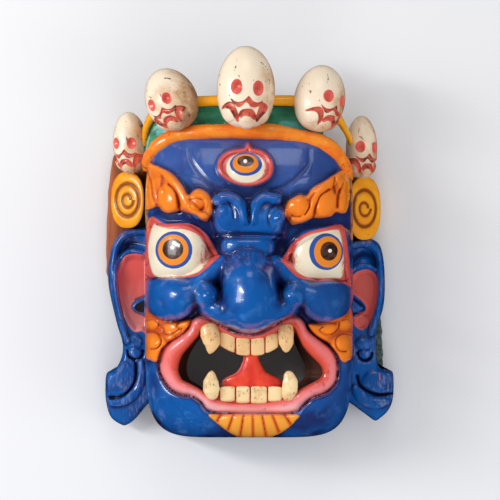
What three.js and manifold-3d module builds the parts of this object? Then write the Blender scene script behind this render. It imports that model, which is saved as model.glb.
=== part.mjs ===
// A carved and painted wooden mask of a wrathful guardian with a crown of five skulls.
// It lies on its back: X runs across the face, Y from chin to crown, Z from the back rim to the nose.
// Everything is carved from one block, so every form is joined into one solid. Sizes are in millimetres.

import * as THREE from "three";
import { mergeVertices } from "three/addons/utils/BufferGeometryUtils.js";
import Module from "manifold-3d";

// Head block
const FACE_HALF_WIDTH = 104;
const FACE_HALF_HEIGHT = 157;
const FACE_MIDDLE_Y = -38; // height of the block's middle above the drawing's base line
const OUTLINE_SQUARENESS = 6.2; // power of the superellipse that the face's outline follows
const DOME_SQUARENESS = 4; // power of the curve from the middle of the face to its side
const SIDE_DEPTH = 55; // from the back rim to where the face starts to round
const FACE_DEPTH = 115; // from the back rim to the middle of the bare face
const WALL = 15; // wood left between the face and the hollow behind it

// Crown
const ROLL_RADIUS = 8.5;
const RIM_RADIUS = 6;
const BAND_THICKNESS = 13;

// Ears, ear discs and the rough ledge behind them
const EAR_BACK = 11;
const EAR_THICKNESS = 17;
const HELIX_RADIUS = 5.5;
const DISC_HALF_WIDTH = 16.5;
const DISC_HALF_HEIGHT = 30;
const DISC_DEPTH = 33; // from the back rim to the middle of the disc's edge
const DISC_BULGE = 6; // how far the disc's front stands out of its edge
const DISC_SLOPE = 0.72; // fall of the disc towards its outer side
const DISC_BACK = 6;
const LEDGE_THICKNESS = 14;

// Face forms
const EYEBALL_RADII = [36, 26, 17];
const LID_RADIUS = 3.2;
const CHEEK_RADII = [26, 24, 27];
const NOSE_TIP_RADII = [28, 30, 36];
const LIP_HALF_WIDTH = 8.5;
const LIP_HEIGHT = 9;
const FLAME_HEIGHT = 9;
const TOOTH_DEPTH = 9;
const TOOTH_GAP = 2.6;
const TOOTH_LIFT = 3; // from the bare face to the middle of a tooth
const TONGUE_THICKNESS = 9;

// The carver's drawing is made for this face, and stretches with the block it is laid on.
const DRAWN_HALF_WIDTH = 104;
const DRAWN_HALF_HEIGHT = 157;
const STRETCH_X = FACE_HALF_WIDTH / DRAWN_HALF_WIDTH;
const STRETCH_Y = FACE_HALF_HEIGHT / DRAWN_HALF_HEIGHT;
const SIDES = [-1, 1];

const wasm = await Module();
wasm.setup();

// Solids

function solidOf(geometry) {
  const bare = geometry.clone();
  for (const name of Object.keys(bare.attributes)) {
    if (name !== "position") bare.deleteAttribute(name);
  }
  const merged = mergeVertices(bare, 1e-4);
  const corners = merged.index.array;
  const triangles = [];
  for (let i = 0; i < corners.length; i += 3) {
    const [a, b, c] = corners.slice(i, i + 3);
    if (a !== b && b !== c && c !== a) triangles.push(a, b, c);
  }
  const mesh = new wasm.Mesh({
    numProp: 3,
    vertProperties: merged.attributes.position.array,
    triVerts: new Uint32Array(triangles),
  });
  return new wasm.Manifold(mesh);
}

function geometryOf(solid) {
  const mesh = solid.getMesh();
  const geometry = new THREE.BufferGeometry();
  geometry.setAttribute("position", new THREE.BufferAttribute(mesh.vertProperties, 3));
  geometry.setIndex(new THREE.BufferAttribute(mesh.triVerts, 1));
  geometry.computeVertexNormals();
  return geometry;
}

const join = (solids) => solids.reduce((all, one) => all.add(one));

// The solid without the bubbles that stay shut in between rolls that cross inside the wood.
function withoutBubbles(solid) {
  const bodies = solid.decompose();
  return bodies.reduce((largest, body) => (body.volume() > largest.volume() ? body : largest));
}

// Moves every corner of a geometry to the point that moveTo gives for it.
function reshape(geometry, moveTo) {
  const corner = new THREE.Vector3();
  const position = geometry.attributes.position;
  for (let i = 0; i < position.count; i += 1) {
    corner.fromBufferAttribute(position, i);
    const moved = moveTo(corner);
    position.setXYZ(i, moved.x, moved.y, moved.z);
  }
  return geometry;
}

// The bare face

// How far a point of the drawing is from the block's middle, as a share of the way to its outline.
function shareToOutline(x, y) {
  const across = Math.abs(x * STRETCH_X) / FACE_HALF_WIDTH;
  const along = Math.abs(y * STRETCH_Y - FACE_MIDDLE_Y) / FACE_HALF_HEIGHT;
  const sum = across ** OUTLINE_SQUARENESS + along ** OUTLINE_SQUARENESS;
  return sum ** (1 / OUTLINE_SQUARENESS);
}

// Height of the bare face over a point of the drawing.
function faceHeight(x, y) {
  const share = Math.min(shareToOutline(x, y), 1);
  return SIDE_DEPTH + (FACE_DEPTH - SIDE_DEPTH) * Math.sqrt(1 - share ** DOME_SQUARENESS);
}

// A point of the drawing laid on the bare face, and lifted off it.
function onFace(x, y, lift = 0) {
  return new THREE.Vector3(x * STRETCH_X, y * STRETCH_Y, faceHeight(x, y) + lift);
}

// A point of the drawing at a height of its own above the back rim.
function atDepth(x, y, z) {
  return new THREE.Vector3(x * STRETCH_X, y * STRETCH_Y, z);
}

// A block with the face's rounded outline and domed front, all its walls drawn in by inset.
function headBlock(inset, rings, segments) {
  const profile = [];
  for (let i = 0; i <= rings; i += 1) {
    const turn = (i / rings) * (Math.PI / 2);
    const share = Math.sin(turn) ** (2 / DOME_SQUARENESS);
    const rise = (FACE_DEPTH - SIDE_DEPTH) * Math.cos(turn);
    profile.push(new THREE.Vector2(i === 0 ? 0 : share, SIDE_DEPTH - inset + rise));
  }
  const foot = inset > 0 ? -1 : 0; // a cutter reaches past the back rim
  profile.push(new THREE.Vector2(1, foot), new THREE.Vector2(0, foot));
  const lathe = new THREE.LatheGeometry(profile.reverse(), segments);
  const halfWidth = FACE_HALF_WIDTH - inset;
  const halfHeight = FACE_HALF_HEIGHT - inset;
  return solidOf(
    reshape(lathe, (corner) => {
      const angle = Math.atan2(corner.z, corner.x);
      const reach =
        Math.abs(Math.cos(angle)) ** OUTLINE_SQUARENESS +
        Math.abs(Math.sin(angle)) ** OUTLINE_SQUARENESS;
      const radius = Math.hypot(corner.x, corner.z) / reach ** (1 / OUTLINE_SQUARENESS);
      return new THREE.Vector3(
        radius * Math.cos(angle) * halfWidth,
        FACE_MIDDLE_Y - radius * Math.sin(angle) * halfHeight,
        corner.y,
      );
    }),
  );
}

// Forms

function ball(centre, radii, detail = 2, turn = [0, 0, 0]) {
  const geometry = new THREE.IcosahedronGeometry(1, detail);
  geometry.scale(...radii);
  geometry.rotateX(turn[0]).rotateY(turn[1]).rotateZ(turn[2]);
  return solidOf(geometry.translate(centre.x, centre.y, centre.z));
}

const rounded = (t) => Math.max(Math.sqrt(1 - (2 * t - 1) ** 2), 0.12);
const tapering = (t) => Math.max((1 - t) ** 0.7 * Math.min(1, 0.35 + 3 * t), 0.1);
const even = () => 1;

// A roll of wood along a curve through points, half as wide and as high as stated, thinned by swell(t).
function roll(points, halfWidth, height, { swell = rounded, steps = 8, sides = 6 } = {}) {
  const curve = new THREE.CatmullRomCurve3(points);
  const geometry = new THREE.CylinderGeometry(1, 1, 1, sides, steps);
  return solidOf(
    reshape(geometry, (corner) => {
      const t = 0.5 + corner.y;
      const along = curve.getTangent(t);
      const across = new THREE.Vector3().crossVectors(along, new THREE.Vector3(0, 0, 1)).normalize();
      const out = new THREE.Vector3().crossVectors(across, along);
      return curve
        .getPoint(t)
        .addScaledVector(across, corner.x * halfWidth * swell(t))
        .addScaledVector(out, corner.z * height * swell(t));
    }),
  );
}

// A roll that closes on itself, with a half width that may change along it.
function ring(points, halfWidthAt, height, steps = 28, sides = 6) {
  const curve = new THREE.CatmullRomCurve3(points, true);
  const geometry = new THREE.TorusGeometry(2, 1, sides, steps);
  return solidOf(
    reshape(geometry, (corner) => {
      const angle = Math.atan2(corner.y, corner.x);
      const t = (angle / (2 * Math.PI) + 1) % 1;
      const along = curve.getTangent(t);
      const across = new THREE.Vector3().crossVectors(along, new THREE.Vector3(0, 0, 1)).normalize();
      const offset = Math.hypot(corner.x, corner.y) - 2;
      return curve
        .getPoint(t)
        .addScaledVector(across, offset * halfWidthAt(t))
        .add(new THREE.Vector3(0, 0, corner.z * height));
    }),
  );
}

// A slab between two heights, with an outline through drawn points and rounded edges.
function slab(outline, low, high, { bevel = 3, divisions = 24 } = {}) {
  const curve = new THREE.CatmullRomCurve3(outline, true, "centripetal");
  const points = curve.getSpacedPoints(divisions).slice(0, divisions);
  const shape = new THREE.Shape(points.map((p) => new THREE.Vector2(p.x, p.y)));
  const geometry = new THREE.ExtrudeGeometry(shape, {
    depth: high - low - 2 * bevel,
    bevelEnabled: bevel > 0,
    bevelThickness: bevel,
    bevelSize: bevel,
    bevelOffset: -bevel,
    bevelSegments: 1,
  });
  return solidOf(geometry.translate(0, 0, low + bevel));
}

// Points given for the right side of the face, placed on the stated side of it.
const toSide = (side, points, place) => points.map(([x, y, lift]) => place(side * x, y, lift));

// Face

function eye(side) {
  const upper = [[30, -15, 1], [42, 8, 3], [58, 18, 3], [78, 20, 3], [97, 24, 4]];
  const lower = [[30, -15, 1], [42, -29, 3], [60, -35, 3], [82, -35, 4], [99, -30, 4]];
  return join([
    ball(onFace(side * 70, -8, -8), EYEBALL_RADII, 2, [0, side * 0.3, 0]),
    roll(toSide(side, upper, onFace), LID_RADIUS, LID_RADIUS + 1, { steps: 5, sides: 4 }),
    roll(toSide(side, lower, onFace), LID_RADIUS, LID_RADIUS, { steps: 5, sides: 4 }),
  ]);
}

function thirdEye() {
  const rim = [];
  for (let i = 0; i < 12; i += 1) {
    const angle = (i / 12) * 2 * Math.PI;
    rim.push(onFace(1 + 27 * Math.cos(angle), 77 + 18 * Math.sin(angle), 1));
  }
  return join([
    ball(onFace(0, 77, -4), [24, 16, 9], 1),
    ring(rim, () => LID_RADIUS, LID_RADIUS, 12, 4),
    roll([onFace(-6, 95, 1), onFace(-2, 98, 2), onFace(0, 104, 2)], 3, 3, { steps: 3 }),
  ]);
}

function brow(side) {
  return join([
    ball(onFace(side * 20, 27, 1), [18, 20, 19]),
    ball(onFace(side * 27, 24, 9), [9, 12, 12], 1, [0, 0, -side * 0.4]),
  ]);
}

// Orange flame above the eye: two hanging lobes, a ribbon and the ball that it curls into.
function flameBrow(side) {
  const height = FLAME_HEIGHT;
  const outerLobe = [[99, 80, -2], [97, 60, 1], [95, 36, 2]];
  const middleLobe = [[98, 82, 0], [88, 64, 2], [80, 46, 3], [79, 30, 2]];
  const ribbon = [[96, 80, 0], [76, 66, 3], [65, 50, 4], [60, 34, 3], [45, 24, 3], [36, 26, 3]];
  return join([
    roll(toSide(side, outerLobe, onFace), 7, height, { steps: 3, sides: 5 }),
    roll(toSide(side, middleLobe, onFace), 12, height + 2, { steps: 4, sides: 5 }),
    roll(toSide(side, ribbon, onFace), 8, height, { steps: 6, sides: 5 }),
    ball(onFace(side * 47, 38, 3), [13, 13, height + 1], 1),
  ]);
}

function nose() {
  const bridgeRoll = ball(onFace(-1, -6, 1), [29, 13, 17], 1);
  const bridge = ball(onFace(0, -38, 12), [25, 26, 24], 1);
  const tip = ball(onFace(1, -60, 16), NOSE_TIP_RADII);
  const wings = SIDES.flatMap((side) => [
    ball(onFace(side * 43, -54, 6), [14, 15, 17], 1),
    ball(onFace(side * 30, -67, 8), [18, 14, 18], 1),
  ]);
  return join([bridgeRoll, bridge, tip, ...wings]);
}

function cheek(side) {
  const sweep = [[84, -38, 2], [60, -42, 6], [42, -34, 4], [30, -22, 2]];
  return join([
    ball(onFace(side * 77, -55, 2), CHEEK_RADII),
    roll(toSide(side, sweep, onFace), 8, 8, { steps: 5, sides: 5 }),
  ]);
}

// Orange flame beside the mouth, below the cheek.
function sideFlame(side) {
  const curls = [
    [[100, -72, 1], [86, -78, 3], [66, -74, 4]],
    [[101, -88, 1], [88, -96, 3], [77, -90, 4]],
    [[101, -98, 1], [94, -110, 2], [88, -117, 2]],
  ];
  return join(curls.map((curl) => roll(toSide(side, curl, onFace), 10, 7, { steps: 3, sides: 5 })));
}

// Mouth

// The lips' middle line, from the right corner over the upper lip and back along the lower one.
const LIP_LINE = [
  [81, -122], [72, -107], [57, -95], [49, -81], [38, -83], [20, -92], [0, -97],
  [-20, -92], [-38, -83], [-49, -81], [-57, -95], [-72, -107], [-81, -122], [-78, -137],
  [-62, -151], [-44, -158], [-22, -165], [0, -166], [22, -165], [44, -158], [62, -151], [78, -137],
];
const MOUTH_HOLE = [
  [72, -122], [66, -109], [52, -96], [46, -92], [20, -100], [0, -104], [-20, -100], [-46, -92],
  [-52, -96], [-66, -109], [-72, -122], [-66, -137], [-45, -142], [0, -146], [45, -142], [66, -137],
];
const LIP_LIFT = 6;

const isUpperLip = (t) => t > 0.14 && t < 0.43;

function mouthOpening() {
  const outline = MOUTH_HOLE.map(([x, y]) => atDepth(x, y, 0));
  return slab(outline, WALL, FACE_DEPTH + 2 * WALL, { bevel: 0, divisions: 26 });
}

function lips() {
  const line = LIP_LINE.map(([x, y]) => onFace(x, y, LIP_LIFT));
  const halfWidthAt = (t) => (isUpperLip(t) ? LIP_HALF_WIDTH * 0.62 : LIP_HALF_WIDTH);
  return ring(line, halfWidthAt, LIP_HEIGHT, 28, 5);
}

// A flat tooth that stands on the gum at its root.
function tooth(x, rootY, edgeY, width) {
  const middle = onFace(x, (rootY + edgeY) / 2, TOOTH_LIFT);
  const length = Math.abs(edgeY - rootY) * STRETCH_Y;
  const box = new THREE.BoxGeometry(width, length, TOOTH_DEPTH);
  return solidOf(box.translate(middle.x, middle.y, middle.z));
}

function fang(root, tip, halfWidth) {
  return roll([root, root.clone().lerp(tip, 0.5).add(new THREE.Vector3(0, 0, 1.5)), tip], halfWidth, 7, {
    swell: (t) => Math.max(1 - t ** 1.6, 0.1),
    steps: 3,
    sides: 5,
  });
}

function teeth() {
  const solids = [];
  const upper = [[-21, -92, -106], [-7, -96, -111], [8, -96, -111], [22, -92, -106]];
  const lower = [[-22, -160, -142], [-6, -161, -142], [10, -161, -142], [26, -159, -142]];
  for (const [row, pitch] of [[upper, 14], [lower, 16]]) {
    for (const [x, rootY, edgeY] of row) {
      solids.push(tooth(x, rootY, edgeY, pitch * STRETCH_X - TOOTH_GAP));
    }
  }
  for (const side of SIDES) {
    solids.push(fang(onFace(side * 38, -84, TOOTH_LIFT), onFace(side * 39, -111, TOOTH_LIFT + 4), 9));
    solids.push(fang(onFace(side * 39, -154, TOOTH_LIFT), onFace(side * 39, -128, TOOTH_LIFT + 3), 8));
  }
  return join(solids);
}

// The gums behind the lips, which carry the teeth.
function gums() {
  const upper = [[-54, -86, -5], [-30, -90, -3], [0, -98, -3], [30, -90, -3], [54, -86, -5]];
  const lower = [[-60, -148, -3], [-30, -156, -3], [0, -158, -3], [30, -156, -3], [60, -148, -3]];
  const place = ([x, y, lift]) => onFace(x, y, lift);
  return join([
    roll(upper.map(place), 8, 9, { swell: even, steps: 5, sides: 5 }),
    roll(lower.map(place), 10, 9, { swell: even, steps: 5, sides: 5 }),
  ]);
}

// The tongue rises from behind the lower teeth and meets the back of the upper ones.
function tongue() {
  const spine = [onFace(2, -158, -12), onFace(2, -140, -4), onFace(2, -120, -6), onFace(2, -96, -10)];
  const swell = (t) => Math.max(1 - 1.25 * t, 0.36);
  return roll(spine, 32, TONGUE_THICKNESS, { swell, steps: 6, sides: 6 });
}

function jaw() {
  const line = [
    [-97, -112, -6], [-95, -150, -2], [-74, -176, 0], [-38, -186, 6], [0, -187, 8],
    [38, -186, 6], [74, -176, 0], [95, -150, -2], [97, -112, -6],
  ];
  return roll(line.map(([x, y, lift]) => onFace(x, y, lift)), 16, 15, { swell: rounded, steps: 12 });
}

// Beard of short locks that fan out below the lower lip.
function beard() {
  const locks = 7;
  const solids = [];
  for (let i = 0; i < locks; i += 1) {
    const share = (2 * i) / (locks - 1) - 1;
    const root = onFace(3 + 40 * share, -172, 9);
    const tip = onFace(3 + 30 * share, -193 + 14 * share ** 2, 18);
    solids.push(roll([root, tip], 7, 7, { swell: tapering, steps: 2, sides: 4 }));
  }
  return join(solids);
}

// Crown

// Depth of the crown at a distance from the middle line, where it bends back round the head.
const crownDepth = (x) => 88 - 34 * (Math.abs(x) / DRAWN_HALF_WIDTH) ** 3;

// Points of the drawing, each with how far it lies above the crown's depth.
const ROLL_LINE = [
  [-104, 66, -22], [-99.5, 82, 0], [-79, 103, 2], [-41, 110, 2], [1, 111, 2], [38, 108, 2], [78, 97, 2],
  [91, 82, 0], [99, 62, -14],
];
const RIM_LINE = [
  [-107, 70, -22], [-105, 94, -6], [-102, 116, 0], [-84, 136, 0], [-51, 141, 0], [1, 142, 0], [45, 141, 0],
  [76, 133, 0], [94, 118, 0], [102, 98, -4], [104, 66, -20],
];
const onCrown = ([x, y, lift]) => atDepth(x, y, crownDepth(x) + lift);

function crown() {
  return join([
    roll(ROLL_LINE.map(onCrown), ROLL_RADIUS, ROLL_RADIUS + 1, { swell: even, steps: 12, sides: 6 }),
    roll(RIM_LINE.map(onCrown), RIM_RADIUS, RIM_RADIUS, { swell: even, steps: 14, sides: 5 }),
    crownBand(),
  ]);
}

// The sunken green band between roll and rim. It is left out on the right, where the rim stands free.
function crownBand() {
  const solidShare = 0.86;
  const rollCurve = new THREE.CatmullRomCurve3(ROLL_LINE.map(onCrown));
  const rimCurve = new THREE.CatmullRomCurve3(RIM_LINE.map(onCrown));
  const geometry = new THREE.BoxGeometry(1, 1, 1, 10, 1, 1);
  return solidOf(
    reshape(geometry, (corner) => {
      const t = (corner.x + 0.5) * solidShare;
      const low = rollCurve.getPoint(t);
      const high = rimCurve.getPoint(t);
      const point = corner.y < 0 ? low : high;
      const front = crownDepth(point.x / STRETCH_X) - 3;
      return new THREE.Vector3(point.x, point.y, front + (corner.z - 0.5) * BAND_THICKNESS);
    }),
  );
}

// Skulls

// A skull that looks along its own Z, with its height along Y, made for a radius of one. It nods up,
// turns to the right and rolls to the left by angles in radians.
function skull({ x, y, z, radii, nod, turn, lean, hollowCheeks }) {
  const centre = atDepth(x, y, z);
  const cut = (across, up, out, sizes) => ball(new THREE.Vector3(across, up, out), sizes, 0);
  const dome = reshape(new THREE.IcosahedronGeometry(1, 2), (corner) => {
    const narrowing = corner.y < 0 ? 1 - 0.2 * corner.y ** 2 : 1;
    return new THREE.Vector3(corner.x * narrowing, corner.y, corner.z * narrowing);
  });
  const sockets = SIDES.map((side) => cut(side * 0.37, 0, 0.95, [0.16, 0.17, 0.22]));
  const cheekHollows = hollowCheeks
    ? SIDES.map((side) => cut(side * 0.58, -0.46, 0.78, [0.22, 0.16, 0.2]))
    : [];
  const noseHollow = cut(0, -0.32, 0.95, [0.26, 0.1, 0.16]);
  const mouth = cut(0, -0.6, 0.8, [0.26, 0.1, 0.2]);
  let head = solidOf(dome);
  for (const hollow of [...sockets, ...cheekHollows, noseHollow, mouth]) head = head.subtract(hollow);
  return head
    .scale(radii)
    .rotate([-nod, turn, lean].map(THREE.MathUtils.radToDeg))
    .translate([centre.x, centre.y, centre.z]);
}

const SKULLS = [
  { x: -3, y: 155.5, z: 108, radii: [29, 41, 27], nod: 0, turn: 0.07, lean: -0.06, hollowCheeks: true },
  { x: -78, y: 143, z: 86, radii: [26, 32, 25], nod: 0.19, turn: -0.54, lean: 0.45, hollowCheeks: true },
  { x: 71, y: 144, z: 86, radii: [26, 34, 25], nod: 0.22, turn: 0.74, lean: -0.38, hollowCheeks: true },
  { x: -119, y: 100, z: 40, radii: [18, 31, 19], nod: 0, turn: -0.42, lean: 0, hollowCheeks: false },
  { x: 112.5, y: 95.5, z: 40, radii: [16, 31, 18], nod: 0, turn: 0.42, lean: -0.06, hollowCheeks: false },
];

// Ears

const EAR_OUTLINE = [
  [98, 14], [120, 14], [133, 7], [139, -6], [141, -22], [139, -45], [134, -68], [128, -88], [126, -106],
  [129, -120], [137, -129], [144, -133], [145, -148], [142, -164], [136, -176], [126, -182],
  [115, -177], [106, -166], [98, -158], [98, -70],
];
const HELIX_LINE = [[101, 6, 32], [122, 7, 31], [134, -8, 29], [136, -35, 27], [129, -72, 27], [121, -94, 28]];
const SCROLL_LINE = [[110, -120, 30], [112, -140, 32], [121, -153, 30], [139, -154, 26]];

function ear(side) {
  const front = EAR_BACK + EAR_THICKNESS;
  const outline = EAR_OUTLINE.map(([x, y]) => atDepth(side * x, y, 0));
  const plate = slab(outline, EAR_BACK, front, { bevel: 3, divisions: 22 });
  const bowl = ball(atDepth(side * 118, -48, front + 2), [14, 38, 11], 1, [0, 0, side * 0.12]);
  const gap = ball(atDepth(side * 109, -64, EAR_BACK + 8), [5, 7, 30], 0);
  const helix = roll(toSide(side, HELIX_LINE, atDepth), HELIX_RADIUS, HELIX_RADIUS + 3, { steps: 6, sides: 4 });
  const scroll = roll(toSide(side, SCROLL_LINE, atDepth), 9, 10, { steps: 5, sides: 5 });
  const knob = ball(atDepth(side * 115, -103, front), [9, 8, 8], 1);
  return join([plate.subtract(bowl), helix, scroll, knob]).subtract(gap);
}

// Oval disc with a spiral groove above the ear. It is turned back from the face and flat behind.
function disc(side) {
  const centre = side < 0 ? atDepth(-121.5, 42.5, DISC_DEPTH) : atDepth(115.5, 34, DISC_DEPTH);
  const onDisc = (across, up, rise) =>
    new THREE.Vector3(
      centre.x + across * DISC_HALF_WIDTH,
      centre.y + up * DISC_HALF_HEIGHT,
      centre.z - side * across * DISC_HALF_WIDTH * DISC_SLOPE + rise * DISC_BULGE,
    );
  const dome = reshape(new THREE.IcosahedronGeometry(1, 1), (corner) => {
    const point = onDisc(corner.x, corner.y, corner.z);
    return corner.z < -0.1 ? point.setZ(DISC_BACK) : point;
  });
  const turns = 1.8;
  const spiral = [];
  for (let i = 0; i <= 18; i += 1) {
    const share = 0.22 + (0.5 * i) / 18;
    const angle = (i / 18) * turns * 2 * Math.PI;
    spiral.push(onDisc(side * share * Math.cos(angle), share * Math.sin(angle), Math.sqrt(1 - share ** 2)));
  }
  return solidOf(dome).subtract(roll(spiral, 1.6, 2.2, { swell: even, steps: 12, sides: 3 }));
}

// Rough ledge at the back, wider on the left above and on the right below.
function ledge() {
  const outline = [
    [-70, 98], [-112, 100], [-130, 88], [-138, 60], [-142, 0], [-140, -36], [-126, -56], [-108, -100],
    [-90, -130], [90, -140], [120, -136], [134, -120], [137, -60], [136, 10], [132, 60], [122, 92], [70, 98],
  ];
  return slab(outline.map(([x, y]) => atDepth(x, y, 0)), 0, LEDGE_THICKNESS, { bevel: 0, divisions: 34 });
}

function carve() {
  const outside = join([
    headBlock(0, 6, 32),
    ledge(),
    nose(),
    jaw(),
    thirdEye(),
    ...SIDES.flatMap((side) => [
      eye(side), brow(side), flameBrow(side), cheek(side), sideFlame(side), ear(side), disc(side),
    ]),
    crown(),
    ...SKULLS.map(skull),
  ]);
  const opened = outside.subtract(headBlock(WALL, 4, 20)).subtract(mouthOpening());
  return join([opened, lips(), gums(), teeth(), tongue(), beard()]);
}

// The origin lies under the middle of the outline, on the surface that the mask rests on.
function onItsRim(solid) {
  const { min, max } = solid.boundingBox();
  return solid.translate([-(min[0] + max[0]) / 2, -(min[1] + max[1]) / 2, -min[2]]);
}

const paintedWood = new THREE.MeshStandardMaterial({ color: 0x1f4fa8, roughness: 0.35, metalness: 0 });
const mask = new THREE.Mesh(geometryOf(onItsRim(withoutBubbles(carve()))), paintedWood);
mask.name = "mask";

const group = new THREE.Group();
group.add(mask);

export default group;
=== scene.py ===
import bpy
import numpy as np
from mathutils import Matrix, Vector


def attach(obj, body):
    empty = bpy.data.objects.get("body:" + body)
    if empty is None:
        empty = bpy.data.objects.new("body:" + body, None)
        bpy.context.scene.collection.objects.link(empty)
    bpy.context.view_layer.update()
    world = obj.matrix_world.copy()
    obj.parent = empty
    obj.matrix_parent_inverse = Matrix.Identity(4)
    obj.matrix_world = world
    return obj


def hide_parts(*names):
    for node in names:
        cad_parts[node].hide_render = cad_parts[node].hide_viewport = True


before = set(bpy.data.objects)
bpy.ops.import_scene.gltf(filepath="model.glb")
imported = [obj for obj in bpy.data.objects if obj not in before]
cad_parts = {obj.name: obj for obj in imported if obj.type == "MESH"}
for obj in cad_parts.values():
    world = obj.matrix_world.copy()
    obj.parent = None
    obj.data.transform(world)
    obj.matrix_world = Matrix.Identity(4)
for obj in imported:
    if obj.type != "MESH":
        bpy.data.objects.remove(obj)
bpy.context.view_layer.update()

bl_info = {
    "name": "Carved deity mask",
    "version": (1, 0, 0),
    "blender": (4, 5, 0),
    "location": "3D View > Sidebar > Mask",
    "description": "Carves and paints a wooden festival mask with five skulls, lying on its back",
    "category": "Add Mesh",
}

MM = 0.001
DRAWING_TO_FRAME_Y = 2.46
PHOTO_COLUMN, PHOTO_ROW = 249.0, 242.4
CAMERA_HEIGHT = 2400.0
CAMERA_OVER = (1.0, -7.6)
MEASURED_DEPTH = 90.0
SEEN_WIDTH = 500.0
BELOW, ABOVE = -20.0, 190.0


def srgb(red, green, blue):
    """Screen colour, 0 to 255, as the light it stands for."""
    share = np.array([red, green, blue]) / 255.0
    light = np.where(share <= 0.04045, share / 12.92, ((share + 0.055) / 1.055) ** 2.4)
    return tuple(float(value) for value in light)


# Sizes and colours that a user would change


def length(name, description, default):
    """A size property whose default is given in millimetres."""
    return bpy.props.FloatProperty(
        name=name, description=description, default=default * MM, min=0.0, subtype="DISTANCE", unit="LENGTH"
    )


def colour(name, description, red, green, blue):
    """A colour property whose default is given as a screen colour."""
    return bpy.props.FloatVectorProperty(
        name=name,
        description=description,
        default=srgb(red, green, blue),
        size=3,
        min=0.0,
        max=1.0,
        subtype="COLOR",
    )


class MaskSizes(bpy.types.PropertyGroup):
    half_width: length("Half width", "Half the width of the face block", 104.0)
    half_height: length("Half height", "Half the height of the face block", 157.0)
    side_depth: length("Side depth", "Height of the side walls above the floor", 55.0)
    face_depth: length("Face depth", "Height of the face's middle above the floor", 115.0)
    wall: length("Wall", "Thickness of the wood round the hollow", 15.0)
    nose_rise: length("Nose", "How far the nose stands out of the face", 50.0)
    cheek_rise: length("Cheeks", "How far the cheeks stand out of the face", 29.0)
    lip_rise: length("Lips", "How far the lips stand out of the face", 11.0)
    flame_rise: length("Flames", "How far the flames stand out of the brow", 8.0)
    roll_radius: length("Crown roll", "Radius of the orange roll over the forehead", 8.0)
    rim_radius: length("Crown rim", "Radius of the yellow rim of the crown", 5.2)
    ear_back: length("Ear back", "Height of the ears' back above the floor", 11.0)
    ear_thickness: length("Ear thickness", "Thickness of the ears", 17.0)


class MaskColours(bpy.types.PropertyGroup):
    blue: colour("Blue", "Blue enamel of the face", 0, 90, 172)
    navy: colour("Navy", "Blue enamel where it lies dark", 22, 46, 112)
    violet: colour("Violet", "Greyer blue of the forehead", 60, 86, 158)
    orange: colour("Orange", "Orange of flames and beard", 255, 136, 26)
    crown: colour("Crown orange", "Orange of the crown's roll", 255, 150, 36)
    yellow: colour("Yellow", "Yellow of the ear discs and the crown's rim", 255, 176, 8)
    green: colour("Green", "Green of the crown's band", 62, 166, 124)
    pink: colour("Pink", "Pink of lids and ears", 232, 96, 92)
    lip: colour("Lips", "Pink of the lips", 255, 152, 156)
    tongue: colour("Tongue", "Red of the tongue", 255, 84, 54)
    white: colour("Eye white", "White of the eyes", 246, 234, 206)
    iris: colour("Iris ring", "Blue ring round the iris", 44, 88, 168)
    amber: colour("Iris", "Orange of the iris", 246, 142, 36)
    pupil: colour("Pupil", "Dark brown of the pupils", 52, 30, 26)
    ivory: colour("Teeth", "Ivory of the teeth", 255, 226, 172)
    bone: colour("Bone", "Cream of the skulls", 252, 232, 204)
    socket: colour("Sockets", "Red inside the skulls' hollows", 240, 104, 88)
    wood: colour("Wood", "Bare wood at the sides and back", 176, 98, 60)
    wash: colour("Wash", "Dark wash that lies in the grooves", 34, 18, 14)


def mm(value):
    """Metres as millimetres."""
    return value / MM


# Lines, distances and carved forms


def smooth_line(points, count=60, closed=False):
    """Catmull-Rom line: a cubic through each pair of points, whose end slopes are half the step
    between each point's neighbours."""
    points = np.asarray(points, float)
    total = len(points)
    t = np.linspace(0, total if closed else total - 1, count, endpoint=not closed)
    first = np.minimum(t.astype(int), total - (1 if closed else 2))
    share = (t - first)[:, None]
    index = first[:, None] + np.arange(-1, 3)
    index = index % total if closed else np.clip(index, 0, total - 1)
    a, b, c, d = (points[index[:, i]] for i in range(4))
    cubic = 3 * b - a - 3 * c + d
    square = 2 * a - 5 * b + 4 * c - d
    return 0.5 * (2 * b + (c - a) * share + square * share**2 + cubic * share**3)


def from_photo(points):
    """Pixels of the photograph as drawing millimetres: one pixel is one millimetre, measured from the
    column of the face's middle line and from the row of the drawing's zero."""
    return [(x - PHOTO_COLUMN, PHOTO_ROW - y) for x, y in points]


def spot(column, row):
    """One pixel of the photograph as a place in the drawing."""
    return from_photo([(column, row)])[0]


def nearest(x, y, line, reach=14.0):
    """Distance from each place to the nearest stretch of a line, and how far along the line that
    is, from 0 to 1. Places beyond the reach of the line's box get the reach itself."""
    away = np.full(x.shape, float(reach))
    along = np.zeros(x.shape)
    low, high = line.min(0) - reach, line.max(0) + reach
    near = (x > low[0]) & (x < high[0]) & (y > low[1]) & (y < high[1])
    px, py = x[near], y[near]
    if not len(px):
        return away, along
    start, step = line[:-1], np.diff(line, axis=0)
    square = np.maximum((step**2).sum(1), 1e-9)
    found, share = np.empty(len(px)), np.empty(len(px))
    for block in np.array_split(np.arange(len(px)), 1 + len(px) * len(step) // 3_000_000):
        dx = px[block, None] - start[:, 0]
        dy = py[block, None] - start[:, 1]
        t = np.clip((dx * step[:, 0] + dy * step[:, 1]) / square, 0, 1)
        distance = (dx - t * step[:, 0]) ** 2 + (dy - t * step[:, 1]) ** 2
        best = distance.argmin(1)
        rows = np.arange(len(block))
        found[block] = np.sqrt(distance[rows, best])
        share[block] = (best + t[rows, best]) / len(step)
    away[near], along[near] = found, share
    return away, along


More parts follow.
